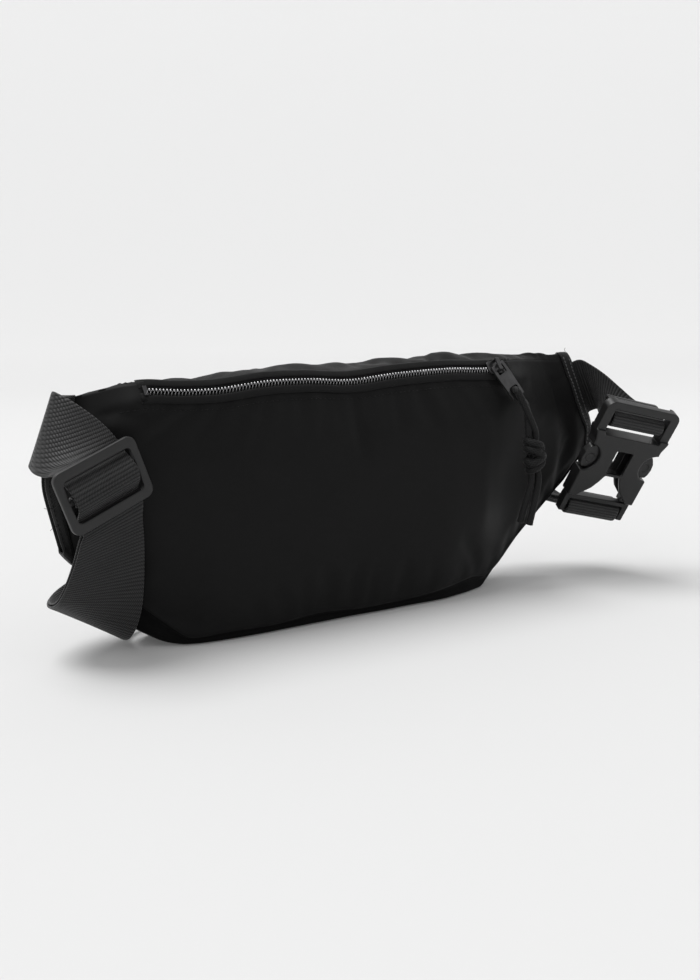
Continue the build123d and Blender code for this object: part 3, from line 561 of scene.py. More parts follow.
# ----------------------------------------------------------------------------
# The pack's outline, as in its CAD model
# ----------------------------------------------------------------------------
ZIP_Y, ZIP_Z, ZIP_TILT = -20.0, 141.0, 37.0
ZIP_X0, ZIP_X1 = -128.0, 116.0
TAPE_HALF, TEETH_HALF = 5.5, 1.6
SLIDER_X = 106.5
BOTTOM = [(-168, 57), (-150, 36), (-134, 14), (-118, 3.2), (-107, 0), (104, 0), (118, 12), (137.5, 31), (153, 43), (165, 54), (181, 70), (196, 86)]
SEAM_UP = [(-168, 3), (-150, 7.3), (-134, 14.5), (-118, 11.08), (-107, 4.5), (104, 4.5), (137, 3.5), (196, 3)]
FRONT_LOW = [(-168, -3.0), (-150, -7), (-134, -12), (-115, -17), (-95, -22), (-60, -24), (60, -24), (85, -20), (104, -14), (135, -9), (160, -6.6), (176, -6.0)]
FRONT_MID = [(-168, -3.0), (-150, -10), (-134, -16.5), (-115, -22), (-90, -26), (-60, -27), (60, -27), (90, -25), (104, -20), (120, -14), (135, -11), (160, -7.6), (176, -6.0)]
ZIP_ROW = [(-168, -3.0), (-150, -10), (-141, -15), (-130, -20), (118, -20), (130, -17), (145, -12), (162, -8.0), (176, -6.0)]
BACK_TOP = [(-168, 3.0), (-150, 8), (-130, 14), (-100, 16), (90, 16), (120, 13), (145, 6), (162, 1.5), (176, -1.0)]
BACK_MID = [(-168, 3.0), (-150, 9), (-134, 15), (-115, 20), (-90, 25), (-40, 28), (50, 28), (90, 24), (104, 20), (120, 14), (135, 9), (160, 2.0), (176, -1.0)]
BACK_LOW = [(-168, 3.0), (-150, 6), (-134, 11), (-107, 18), (-90, 22), (60, 23), (90, 20), (104, 15), (135, 6), (160, 1.0), (176, -1.0)]
RIDGE_Y = [(-168, 0.0), (-130, 0.5), (110, 0.5), (150, -2.0), (176, -3.5)]
RIDGE_Z = [(-168, 142), (-150, 145), (-130, 147.2), (-60, 148.3), (0, 148.6), (110, 149.5), (150, 149), (180, 147.5), (196, 146.8)]
RIDGE_DROP = [(-168, -3.0), (-150, -5.0), (-125, -5.2), (-86, -4.0), (-50, -1.8), (-15, -0.9), (20, 0.0)]
TILT = [(-168, 10), (-145, 18), (-130, ZIP_TILT), (118, ZIP_TILT), (140, 18), (176, 6)]
ZIP_ROW_Z = [(-168, 133), (-150, 137), (-130, ZIP_Z), (118, ZIP_Z), (150, 139.5), (196, 137)]
# the zip line's gentle wave, and the wave of the front panel's lower seam
ZIP_WAVE = [(-128, 0.3), (-104, -1.5), (-88, -1.9), (-50, 0.7), (-30, 0.4), (0, -1.7), (34, 0.5), (70, 1.3), (92, 0.3), (100, 0.0), (116, 0.0)]
SEAM_WAVE = [(-134, 0), (-107, 0.6), (-80, 1.6), (-58, 1.2), (-25, 3.2), (5, 1.4), (45, 2.2), (75, 5.2), (91, 6.6), (104, 4.0), (118, 0)]


def table(keys, x):
    if x <= keys[0][0]:
        return keys[0][1]
    if x >= keys[-1][0]:
        return keys[-1][1]
    n = len(keys)
    slopes = [(keys[i + 1][1] - keys[i][1]) / (keys[i + 1][0] - keys[i][0]) for i in range(n - 1)]
    for i in range(n - 1):
        if keys[i][0] <= x <= keys[i + 1][0]:
            h = keys[i + 1][0] - keys[i][0]
            t = (x - keys[i][0]) / h
            m0 = 0.0 if i == 0 or slopes[i - 1] * slopes[i] <= 0 else 2 * slopes[i - 1] * slopes[i] / (slopes[i - 1] + slopes[i])
            m1 = 0.0 if i == n - 2 or slopes[i] * slopes[i + 1] <= 0 else 2 * slopes[i] * slopes[i + 1] / (slopes[i] + slopes[i + 1])
            a, b = keys[i][1], keys[i + 1][1]
            t2, t3 = t * t, t * t * t
            return (2 * t3 - 3 * t2 + 1) * a + (t3 - 2 * t2 + t) * h * m0 + (-2 * t3 + 3 * t2) * b + (t3 - t2) * h * m1
    return keys[-1][1]


def straight(keys, x):
    xs, ys = zip(*keys)
    return float(np.interp(x, xs, ys))


def lerp(a, b, t):
    return a + (b - a) * t


def end_shift(x, z):
    if x > 104:
        t = min(1.0, (x - 104) / 79.0) ** 1.5
        target = 191.5 - 0.44 * (z - 123.7)
        target = min(target, 202.5 - 0.25 * max(0.0, z - 100.0))
        return t * (target - 196.0)
    if x < -107:
        t = min(1.0, (-107 - x) / 52.0) ** 1.5
        target = straight([(57, -168), (80, -173), (98, -176), (143, -164)], z)
        return t * (target + 168.0)
    return 0.0


def ring(x):
    zb = straight(BOTTOM, x)
    zs = zb + straight(SEAM_UP, x)
    tilt = math.radians(table(TILT, x))
    wy, wz = math.sin(tilt), math.cos(tilt)
    zy, zz = table(ZIP_ROW, x), table(ZIP_ROW_Z, x)
    fl, fm = table(FRONT_LOW, x), table(FRONT_MID, x)
    bl, bm, bt = table(BACK_LOW, x), table(BACK_MID, x), table(BACK_TOP, x)
    ry, rz = table(RIDGE_Y, x), table(RIDGE_Z, x) + straight(RIDGE_DROP, x)
    flat = 1.0 if -160 < x < 170 else 0.0
    z_lo = (zy - TAPE_HALF * wy * flat, zz - TAPE_HALF * wz)
    z_up = (zy + TAPE_HALF * wy * flat, zz + TAPE_HALF * wz)
    pts = [(bl - 0.8 * flat, zb), (fl + 2.0 * flat, zb), (fl, zs)]
    for f in (0.13, 0.3, 0.5, 0.7, 0.86):
        y = lerp(fl, z_lo[0], f) + (fm - (fl + z_lo[0]) / 2) * math.sin(math.pi * f) ** 0.8
        pts.append((y, lerp(zs, z_lo[1], f)))
    pts.append(z_lo)
    pts.append((zy - TEETH_HALF * wy * flat, zz - TEETH_HALF * wz))
    pts.append((zy + TEETH_HALF * wy * flat, zz + TEETH_HALF * wz))
    pts.append(z_up)
    pts.append((lerp(z_up[0], ry, 0.5), lerp(z_up[1], rz, 0.78)))
    pts.append((ry, rz))
    pts.append((lerp(ry, bt, 0.55), rz - 1.4))
    z_bt = rz - 7.0
    pts.append((bt, z_bt))
    for f in (0.15, 0.35, 0.55, 0.75, 0.9):
        y = lerp(bt, bl, f) + (bm - (bl + bt) / 2) * math.sin(math.pi * f) ** 0.8
        pts.append((y, lerp(z_bt, zs, f)))
    pts.append((bl, zs))
    return np.array([(x + end_shift(x, z), y, z) for y, z in pts])


# sections of the ring: name, outline points, divisions of each run
SECTIONS = [
    ("gusset", [21, 0, 1, 2], [4, 12, 4]),
    ("front", [2, 3, 4, 5, 6, 7, 8], [5, 6, 7, 7, 6, 5]),
    ("zip", [8, 9, 10, 11], [1, 1, 1]),
    ("top", [11, 12, 13, 14, 15], [4, 4, 3, 3]),
    ("back", [15, 16, 17, 18, 19, 20, 21], [5, 6, 6, 6, 5, 4]),
]


def catmull_run(P, divs):
    out = []
    n = len(P)
    for i in range(n - 1):
        p1, p2 = P[i], P[i + 1]
        p0 = P[i - 1] if i > 0 else 2 * p1 - p2
        p3 = P[i + 2] if i < n - 2 else 2 * p2 - p1
        for k in range(divs[i]):
            t = k / divs[i]
            out.append(0.5 * ((2 * p1) + (p2 - p0) * t + (2 * p0 - 5 * p1 + 4 * p2 - p3) * t * t + (3 * p1 - p0 - 3 * p2 + p3) * t ** 3))
    return out


def fine_ring(x):
    P = ring(x)
    out = []
    for name, ids, divs in SECTIONS:
        out += catmull_run(P[ids], divs)
    return np.array(out)


STARTS, count = {}, 0
for name, ids, divs in SECTIONS:
    STARTS[name] = count
    count += sum(divs)
RN = count
xs = [-168.0, -166.2, -163.5]
x = -160.0
while x < 188.0:
    xs.append(x)
    x += 4.0
xs += [188.5, 191.0, 194.0, 196.0]
xs = sorted(xs)
NS = len(xs)
I_ZIP0, I_ZIP1 = xs.index(-128.0), xs.index(116.0)
G = np.array([fine_ring(x) for x in xs])            # stations x ring points x 3

# the waves of the zip line and of the lower seam, faded out across the panels
jf, jz, jt, jb = STARTS["front"], STARTS["zip"], STARTS["top"], STARTS["back"]
for i, x in enumerate(xs):
    zw, sw = table(ZIP_WAVE, x), table(SEAM_WAVE, x)
    if not -128 <= x <= 116:
        zw = 0.0
    for j in range(jf, jb + 1):
        if j < jz:
            f = (j - jf) / (jz - jf)
            G[i, j, 2] += zw * max(0.0, (f - 0.55) / 0.45) ** 1.5 + sw * max(0.0, 1 - f / 0.4) ** 1.5
        elif j <= jt:
            G[i, j, 2] += zw
        else:
            G[i, j, 2] += zw * max(0.0, 1 - (j - jt) / 8.0)
    for j in range(jf - 4, jf):
        G[i, j, 2] += sw * max(0.0, 1 - (jf - j) / 3.0)

NORMAL = np.cross(np.gradient(G, axis=0), np.roll(G, -1, axis=1) - np.roll(G, 1, axis=1))
NORMAL /= np.maximum(np.linalg.norm(NORMAL, axis=2, keepdims=True), 1e-9)
centre = G.mean(axis=1, keepdims=True)
if ((G - centre) * NORMAL).sum() < 0:
    NORMAL = -NORMAL
# ends of the wings are slits, whose normals are the Y direction
REST = G.copy()


def cell_sets():
    sets = {"front": [], "top": [], "back": [], "gusset": []}
    for i in range(NS - 1):
        for name, _, divs in SECTIONS:
            a = STARTS[name]
            for j in range(a, a + sum(divs)):
                if name == "zip":
                    if i < I_ZIP0 or i >= I_ZIP1:
                        sets["front"].append((i, j))
                else:
                    sets[name].append((i, j))
    return sets


CELLS = cell_sets()
vid = lambda i, j: i * RN + j % RN

# --- soft shape: fabric with a little spare length, pinned along its seams, blown out slightly -------------
pin = np.zeros((NS, RN))
for j in (jf, jz, jz + 1, jz + 2, jt, jb, 0):
    pin[:, j % RN] = 1.0
pin[:, 0:jf] = 1.0
pin[0:2, :] = 1.0
pin[-2:, :] = 1.0
pin[:, jz:jt + 1] = 1.0


def run_cloth():
    me = bpy.data.meshes.new("soft")
    faces = [(vid(i, j), vid(i, j + 1), vid(i + 1, j + 1), vid(i + 1, j)) for cells in CELLS.values() for i, j in cells]
    k = 10.0                                       # worked at ten times size, in decimetres, where the solver is steady
    me.from_pydata([tuple(p * k / 1000.0) for p in G.reshape(-1, 3)], [], faces)
    o = bpy.data.objects.new("soft", me)
    scene.collection.objects.link(o)
    fix_normals(o)
    vg = o.vertex_groups.new(name="pin")
    for idx, w in enumerate(pin.ravel()):
        if w > 0:
            vg.add([idx], float(w), "REPLACE")
    mod = o.modifiers.new("cloth", "CLOTH")
    s = mod.settings
    s.quality = 6
    s.mass = 0.3
    s.air_damping = 2.0
    s.tension_stiffness = s.compression_stiffness = 22.0
    s.shear_stiffness = 12.0
    s.bending_stiffness = 0.35
    s.vertex_group_mass = "pin"
    s.use_pressure = True
    s.uniform_pressure_force = 0.55
    s.shrink_min = -0.016
    s.effector_weights.gravity = 0.0
    mod.collision_settings.use_collision = False
    mod.collision_settings.use_self_collision = False
    mod.point_cache.frame_start, mod.point_cache.frame_end = 1, 26
    for f in range(1, 23):
        scene.frame_set(f)
    dg = bpy.context.evaluated_depsgraph_get()
    em = o.evaluated_get(dg).to_mesh()
    co = np.zeros(len(em.vertices) * 3)
    em.vertices.foreach_get("co", co)
    co = co.reshape(NS, RN, 3) / k * 1000.0
    o.evaluated_get(dg).to_mesh_clear()
    bpy.data.objects.remove(o)
    scene.frame_set(1)
    return co


used = set(vid(i, j) for cells in CELLS.values() for i, j in cells)
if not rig.quick():
    C = run_cloth()
    D = C - G
    size = np.linalg.norm(D, axis=2, keepdims=True)
    cap = 4.5
    D *= np.minimum(1.0, cap / np.maximum(size, 1e-6))
    D[np.isnan(D)] = 0.0
    G = G + D

# broad dents and small puckers on top of the simulated shape
for i, x in enumerate(xs):
    for j in range(RN):
        p = REST[i, j]
        if pin[i, j] >= 1.0 and not (j < jf):
            continue
        fade = min(1.0, (i + 0.0) / 5.0, (NS - 1 - i) / 5.0)
        d = 0.0
        if jf < j < jz:
            f = (j - jf) / (jz - jf)
            edge = math.sin(math.pi * f) ** 0.5
            d = edge * (1.1 * nz(p, 70.0, 3.1) + 0.5 * nz((p[0], 0, p[2] * 0.6), 30.0, 1.7))
            # short tucks under the zip and above the lower seam
            d += 0.45 * nz((p[0], 0, 0), 8.5, 5.0) * math.exp(-((f - 1.0) / 0.08) ** 2)
            d += 0.9 * nz((p[0], 0, p[2] * 0.3), 17.0, 8.0) * math.exp(-(f / 0.12) ** 2)
        elif jt < j < jb:
            f = (j - jt) / (jb - jt)
            d = math.sin(math.pi * f) * (3.0 * nz((p[0] + 0.9 * p[1], 0, 0), 19.0, 2.2) + 0.8 * nz((p[0] - 1.5 * p[1], p[1], 0), 11.0, 4.4))
        elif j > jb:
            f = (j - jb) / (RN - jb)
            d = math.sin(math.pi * f) ** 0.5 * (1.0 * nz(p, 60.0, 9.1) + 0.5 * nz(p, 24.0, 6.1))
        elif 0 < j < jf:
            d = 0.8 * nz(p, 26.0, 7.7)
        G[i, j] += NORMAL[i, j] * d * fade
G[:, :, 2] = np.maximum(G[:, :, 2], 0.35)

# seams pull in a little; the front panel's lower edge stands proud of the gusset below it
for j, dep in ((jb, 0.8), (0, 0.8)):
    G[3:-3, j] -= NORMAL[3:-3, j] * dep
for i in range(4, NS - 4):
    k = min(1.0, (i - 3) / 8.0, (NS - 4 - i) / 8.0)
    G[i, jf] += np.array((0.0, -0.5, -0.7)) * k
    for j, back in ((jf - 1, 2.4), (jf - 2, 2.8), (jf - 3, 2.6), (jf - 4, 1.8)):
        G[i, j, 1] += back * k


def panel(name, cells, slot, mat, nodes, thick=1.0):
    verts, index, faces, uvs = [], {}, [], []
    for i, j in cells:
        f = []
        for a, b in ((i, j), (i, j + 1), (i + 1, j + 1), (i + 1, j)):
            key = vid(a, b)
            if key not in index:
                index[key] = len(verts)
                p = G[a, b % RN]
                verts.append(p)
                uvs.append((p[0], p[1] + p[2]))
            f.append(index[key])
        faces.append(f)
    o = make(name, verts, faces, uvs)
    fix_normals(o)
    # outward
    n = np.array([pl.normal[:] for pl in o.data.polygons])
    c = np.array([pl.center[:] for pl in o.data.polygons]) - row((5, 0, 75))
    if (n * c).sum() < 0:
        o.data.flip_normals()
    sub = o.modifiers.new("subdivision", "SUBSURF")
    sub.levels = sub.render_levels = 1
    so = o.modifiers.new("cloth_thickness", "SOLIDIFY")
    so.thickness = thick / 1000.0
    so.offset = -1.0
    bake(o)
    o.data.polygons.foreach_set("use_smooth", [True] * len(o.data.polygons))
    return piece(o, "bag", slot, mat, nodes)


panel("front_cloth", CELLS["front"], "shell_fabric", MAT["shell_fabric"], ("front_panel", "lining"))
panel("top_cloth", CELLS["top"], "shell_fabric", MAT["shell_fabric"], ("top_panel",))
panel("back_cloth", CELLS["back"], "shell_fabric", MAT["shell_fabric"], ("back_panel", "back_padding"))
# the gusset takes the shell nylon painted darker, as painted shade under the pack
panel("gusset_cloth", CELLS["gusset"], "shell_fabric", MAT["gusset_fabric_painted_shade"], ("bottom_gusset",))


# ----------------------------------------------------------------------------
# Sewing
# ----------------------------------------------------------------------------
def resample(pts, step):
    P = np.asarray(pts, float)
    seg = np.linalg.norm(np.diff(P, axis=0), axis=1)
    s = np.concatenate(([0], np.cumsum(seg)))
    n = max(2, int(round(s[-1] / step)) + 1)
    t = np.linspace(0, s[-1], n)
    return np.stack([np.interp(t, s, P[:, c]) for c in range(3)], axis=1)


def stitches(name, pts, normals, length=2.3, gap=0.8, r=0.22, body="bag", slot="shell_fabric", lift=0.1, mat="thread"):
    """Short rounded threads, end to end, along a line that lies on a surface."""
    P = np.asarray(pts, float)
    Nn = np.asarray(normals, float)
    seg = np.linalg.norm(np.diff(P, axis=0), axis=1)
    s = np.concatenate(([0], np.cumsum(seg)))
    at = lambda t, A: np.array([np.interp(t, s, A[:, c]) for c in range(3)])
    verts, faces = [], []
    t = 0.4
    prof = [(0.0, 0.35), (0.18, 0.85), (0.5, 1.0), (0.82, 0.85), (1.0, 0.35)]
    K = 6
    while t + length < s[-1]:
        a, b = at(t, P), at(t + length, P)
        n = norm(at(t + length / 2, Nn))
        d = norm(b - a)
        w = np.cross(d, n)
        base = len(verts)
        for f, q in prof:
            h = lift + 0.12 * math.sin(math.pi * f) - 0.22 * (1 - math.sin(math.pi * f))
            c = a + (b - a) * f + n * h
            for k in range(K):
                ang = 2 * math.pi * k / K
                verts.append(c + (w * math.cos(ang) + n * math.sin(ang)) * r * q)
        for q in range(len(prof) - 1):
            for k in range(K):
                k2 = (k + 1) % K
                faces.append((base + q * K + k, base + q * K + k2, base + (q + 1) * K + k2, base + (q + 1) * K + k))
        faces.append([base + k for k in range(K)][::-1])
        faces.append([base + (len(prof) - 1) * K + k for k in range(K)])
        t += length + gap
    o = make(name, verts, faces)
    fix_normals(o)
    return piece(o, body, slot, MAT[mat])


def row_line(j, i0, i1, shift=0.0):
    """Points and normals along ring row j (may be fractional) from station i0 to i1."""
    j0 = int(math.floor(j))
    f = j - j0
    P = G[i0:i1 + 1, j0 % RN] * (1 - f) + G[i0:i1 + 1, (j0 + 1) % RN] * f
    Nn = NORMAL[i0:i1 + 1, j0 % RN] * (1 - f) + NORMAL[i0:i1 + 1, (j0 + 1) % RN] * f
    return P, Nn


P, Nn = row_line(jz - 1.55, I_ZIP0 - 3, I_ZIP1 + 3)
stitches("topstitch_below_zip", P, Nn)
P, Nn = row_line(jt + 0.8, I_ZIP0 - 3, I_ZIP1 + 3)
stitches("topstitch_above_zip", P, Nn)
P, Nn = row_line(jb + 0.6, 4, NS - 5)
stitches("topstitch_back_top", P, Nn)

tilt = math.radians(ZIP_TILT)
W_DIR = np.array((0.0, math.sin(tilt), math.cos(tilt)))
N_DIR = np.array((0.0, -math.cos(tilt), math.sin(tilt)))


def zip_point(x, w, n):
    return np.array((x, ZIP_Y, ZIP_Z + table(ZIP_WAVE, x))) + W_DIR * w + N_DIR * n


# ----------------------------------------------------------------------------
# Strips swept along the zip: tapes and the folded fabric edges beside them
# ----------------------------------------------------------------------------
def zip_strip(name, profile, x0, x1, slot, mat, nodes, step=1.6, ripple=0.0):
    """A closed profile in (w, n), swept along the zip line."""
    n_st = int((x1 - x0) / step) + 1
    X = np.linspace(x0, x1, n_st)
    verts, faces, uvs = [], [], []
    m = len(profile)
    for x in X:
        for k, (w, n) in enumerate(profile):
            rp = ripple * nz((x, 0, k * 0.0), 9.0, 2.0 + (1 if w > 0 else 0)) + ripple * 0.6 * nz((x, 0, 0), 4.0, 6.0)
            if ripple:
                near_end = max(0.0, 1.0 - min(x - x0, x1 - x) / 9.0)
                rp -= (n + 0.9) * near_end ** 1.5
            verts.append(zip_point(x, w, n + rp))
            uvs.append((x, w))
    for i in range(n_st - 1):
        for k in range(m):
            q = (k + 1) % m
            faces.append((i * m + k, i * m + q, (i + 1) * m + q, (i + 1) * m + k))
    faces.append(list(range(m)))
    faces.append([(n_st - 1) * m + k for k in range(m)][::-1])
    o = make(name, verts, faces, uvs)
    fix_normals(o)
    return piece(o, "bag", slot, mat, nodes)


def side_profile(side, pts):
    return [(side * w, n) for w, n in pts]


TAPE_P = [(1.5, -0.75), (1.5, -0.05), (2.2, 0.0), (4.2, 0.0), (6.2, -0.15), (6.2, -0.75)]
zip_strip("zip_tape_low", side_profile(-1, TAPE_P), ZIP_X0 - 1.0, ZIP_X1 + 1.0, "zip_tape", MAT["zip_tape"], ("zip_tape_lower",))
zip_strip("zip_tape_high", side_profile(1, TAPE_P), ZIP_X0 - 1.0, ZIP_X1 + 1.0, "zip_tape", MAT["zip_tape"], ("zip_tape_upper",))
FOLD = [(3.3, 0.10), (3.05, 0.40), (3.25, 0.72), (3.9, 0.85), (5.0, 0.72), (6.6, 0.35), (7.9, -0.05), (7.4, -0.5), (5.6, 0.0)]
zip_strip("zip_fold_low", side_profile(-1, FOLD), ZIP_X0 - 1.6, ZIP_X1 + 1.6, "shell_fabric", MAT["shell_fabric"], (), ripple=0.16)
FOLD_HIGH = [(3.0, 0.05), (2.75, 0.25), (2.95, 0.46), (3.7, 0.52), (5.2, 0.38), (6.6, 0.15), (7.4, -0.15), (7.0, -0.5), (5.6, -0.1)]
zip_strip("zip_fold_high", side_profile(1, FOLD_HIGH), ZIP_X0 - 1.6, ZIP_X1 + 1.6, "shell_fabric", MAT["shell_fabric"], (), ripple=0.16)


def bar_tack(name, x):
    """A dense block of stitches across the zip's end."""
    verts, faces = [], []
    K = 6
    for q in range(9):
        w0 = -5.0 + q * 1.2
        base = len(verts)
        for f in (0.0, 0.3, 0.7, 1.0):
            c = zip_point(x - 1.7 + 3.4 * f, w0 + 0.5 * f, 1.15 + 0.15 * math.sin(math.pi * f))
            for k in range(K):
                a = 2 * math.pi * k / K
                verts.append(c + (W_DIR * math.cos(a) + N_DIR * math.sin(a)) * (0.36 if 0 < f < 1 else 0.2))
        for r_ in range(3):
            for k in range(K):
                k2 = (k + 1) % K
                faces.append((base + r_ * K + k, base + r_ * K + k2, base + (r_ + 1) * K + k2, base + (r_ + 1) * K + k))
        faces.append([base + k for k in range(K)][::-1])
        faces.append([base + 3 * K + k for k in range(K)])
    o = make(name, verts, faces)
    fix_normals(o)
    return piece(o, "bag", "shell_fabric", MAT["thread"])


bar_tack("bar_tack_right", ZIP_X1 + 1.4)


# ----------------------------------------------------------------------------
# Zip teeth
# ----------------------------------------------------------------------------
def teeth(name, side, pitch=2.0):
    """One row of cast teeth: round heads on the upper row, longer slanted ones below."""
    verts, faces = [], []
    K = 10
    x = ZIP_X0 + 3.4 + (pitch / 2 if side > 0 else 0.0)
    if side > 0:
        prof = [(-0.55, 0.30), (-0.35, 0.72), (0.0, 0.97), (0.45, 1.0), (0.85, 0.86), (1.15, 0.55), (1.25, 0.2)]
        half, high, slant = 0.66, 1.05, 0.10
    else:
        prof = [(-0.3, 0.30), (0.0, 0.75), (0.5, 0.98), (1.3, 1.0), (2.1, 1.0), (2.7, 0.9), (3.05, 0.6), (3.15, 0.25)]
        half, high, slant = 0.50, 0.95, -0.50
    while x < SLIDER_X + 1.5:
        base = len(verts)
        for w, q in prof:
            c = zip_point(x + slant * w, side * w, 0.10)
            for k in range(K):
                a = 2 * math.pi * k / K + 0.3
                verts.append(c + np.array((1, 0, 0)) * math.cos(a) * half * q + N_DIR * math.sin(a) * high * q)
        for r_ in range(len(prof) - 1):
            for k in range(K):
                k2 = (k + 1) % K
                faces.append((base + r_ * K + k, base + r_ * K + k2, base + (r_ + 1) * K + k2, base + (r_ + 1) * K + k))
        faces.append([base + k for k in range(K)][::-1])
        faces.append([base + (len(prof) - 1) * K + k for k in range(K)])
        x += pitch
    o = make(name, verts, faces)
    fix_normals(o)
    # the upper row takes the lighter teeth material, a painted highlight; the lower row takes the dark nickel
    return piece(o, "bag", "zip_teeth", MAT["zip_teeth" if side > 0 else "zip_teeth_dark"], ("zip_teeth_upper" if side > 0 else "zip_teeth_lower",))


teeth("teeth_high", 1)
teeth("teeth_low", -1)


# ----------------------------------------------------------------------------
# Moulded and cast parts: rounded copies of the CAD solids
# ----------------------------------------------------------------------------
def rounded(name, node, voxel_mm, iterations, body, slot, mat, factor=0.5):
    src = frame["nodes"][node]
    o = bpy.data.objects.new(name, src.data.copy())
    scene.collection.objects.link(o)
    import bmesh
    bm = bmesh.new()
    bm.from_mesh(o.data)
    bmesh.ops.remove_doubles(bm, verts=bm.verts, dist=1e-6)
    bm.to_mesh(o.data)
    bm.free()
    rm = o.modifiers.new("remesh", "REMESH")
    rm.mode = "VOXEL"
    rm.voxel_size = voxel_mm / 1000.0
    rm.use_smooth_shade = True
    sm = o.modifiers.new("smooth", "SMOOTH")
    sm.factor = factor
    sm.iterations = iterations
    bake(o)
    o.data.polygons.foreach_set("use_smooth", [True] * len(o.data.polygons))
    return piece(o, body, slot, mat, (node,))


rounded("adjuster", "tri_glide", 0.32, 6, "tri_glide", "adjuster_plastic", MAT["adjuster_plastic"])
rounded("buckle_socket", "buckle_female", 0.36, 5, "bag", "buckle_plastic", MAT["buckle_plastic"])
rounded("buckle_plug", "buckle_male", 0.36, 5, "buckle_male", "buckle_plastic", MAT["buckle_plastic"])
rounded("latch_left", "latch_arm_left", 0.32, 6, "latch_left", "buckle_plastic", MAT["buckle_plastic"])
rounded("latch_right", "latch_arm_right", 0.32, 6, "latch_right", "buckle_plastic", MAT["buckle_plastic"])
rounded("slider_body", "zip_slider_body", 0.16, 5, "zip_slider", "zip_metal", MAT["zip_metal"])
rounded("slider_bridge", "zip_slider_bridge", 0.14, 5, "zip_slider", "zip_metal", MAT["zip_metal"])
rounded("puller_plate", "puller_tab", 0.14, 5, "zip_puller", "zip_metal", MAT["zip_metal"])
for n in ("zip_top_stop_upper", "zip_top_stop_lower", "zip_bottom_stop"):
    rounded("stop_" + n[4:], n, 0.14, 4, "bag", "zip_metal", MAT["zip_metal"])


# ----------------------------------------------------------------------------
# Pull cord
# ----------------------------------------------------------------------------
PIVOT = np.array((SLIDER_X, ZIP_Y, ZIP_Z)) + N_DIR * 4.3
TAB_T = norm((0.42, -0.38, -0.82))
TAB_M = np.array((0, -0.907, 0.42))
TAB_M = norm(TAB_M - TAB_T * TAB_M.dot(TAB_T))
TAB_C = norm(np.cross(TAB_M, TAB_T))


def tab_point(t, c, m):
    return PIVOT + TAB_T * t + TAB_C * c + TAB_M * m


KNOT_TOP, KNOT_BOTTOM = np.array((124.1, -36.4, 98.5)), np.array((126.2, -36.4, 77.0))
UP = norm(KNOT_TOP - KNOT_BOTTOM)
ASIDE = norm(np.cross(UP, (0.25, 1.0, 0.0)))
CORD_D = 4.4
STRAND_A = [
    tab_point(18.9, 0.0, 0.3),
    tab_point(18.9, -1.4, 3.6),
    tab_point(23.8, -2.4, 3.6),
    tab_point(31.0, -2.6, 1.6) + (0, -0.6, 0),
    KNOT_TOP - ASIDE * 2.4 + UP * 4.0,
    KNOT_TOP - ASIDE * 2.4,
    (KNOT_TOP + KNOT_BOTTOM) / 2 + (0, -1.6, 0),
    KNOT_BOTTOM + ASIDE * 2.4,
    KNOT_BOTTOM + ASIDE * 2.4 - UP * 7.0,
    np.array((121.7, -34.6, 60.0)),
    np.array((117.1, -33.8, 44.5)),
]
STRAND_B = [
    tab_point(18.9, 0.0, -0.3),
    tab_point(18.9, 1.2, -3.6),
    tab_point(23.8, 2.4, -3.4),
    tab_point(31.0, 2.9, -1.8) + (0, -1.0, 0),
    KNOT_TOP + ASIDE * 2.4 + UP * 4.0,
    KNOT_TOP + ASIDE * 2.4,
    (KNOT_TOP + KNOT_BOTTOM) / 2 + (0, 1.6, 0),
    KNOT_BOTTOM - ASIDE * 2.4,
    KNOT_BOTTOM - ASIDE * 2.4 - UP * 7.0,
    np.array((126.1, -38.0, 60.0)),
    np.array((121.1, -37.6, 43.0)),
]


def nurbs_line(route):
    """Points of the smooth line that a route's control points give, in millimetres."""
    cu = bpy.data.curves.new("route", "CURVE")
    cu.dimensions = "3D"
    cu.resolution_u = 24
    sp = cu.splines.new("NURBS")
    sp.points.add(len(route) - 1)
    for pt, p in zip(sp.points, route):
        q = row(p)
        pt.co = (q[0], q[1], q[2], 1.0)
    sp.order_u = 3
    sp.use_endpoint_u = True
    o = bpy.data.objects.new("route", cu)
    scene.collection.objects.link(o)
    bpy.context.view_layer.update()
    dg = bpy.context.evaluated_depsgraph_get()
    me = bpy.data.meshes.new_from_object(o.evaluated_get(dg))
    P = np.array([v.co[:] for v in me.vertices])
    bpy.data.objects.remove(o)
    return P


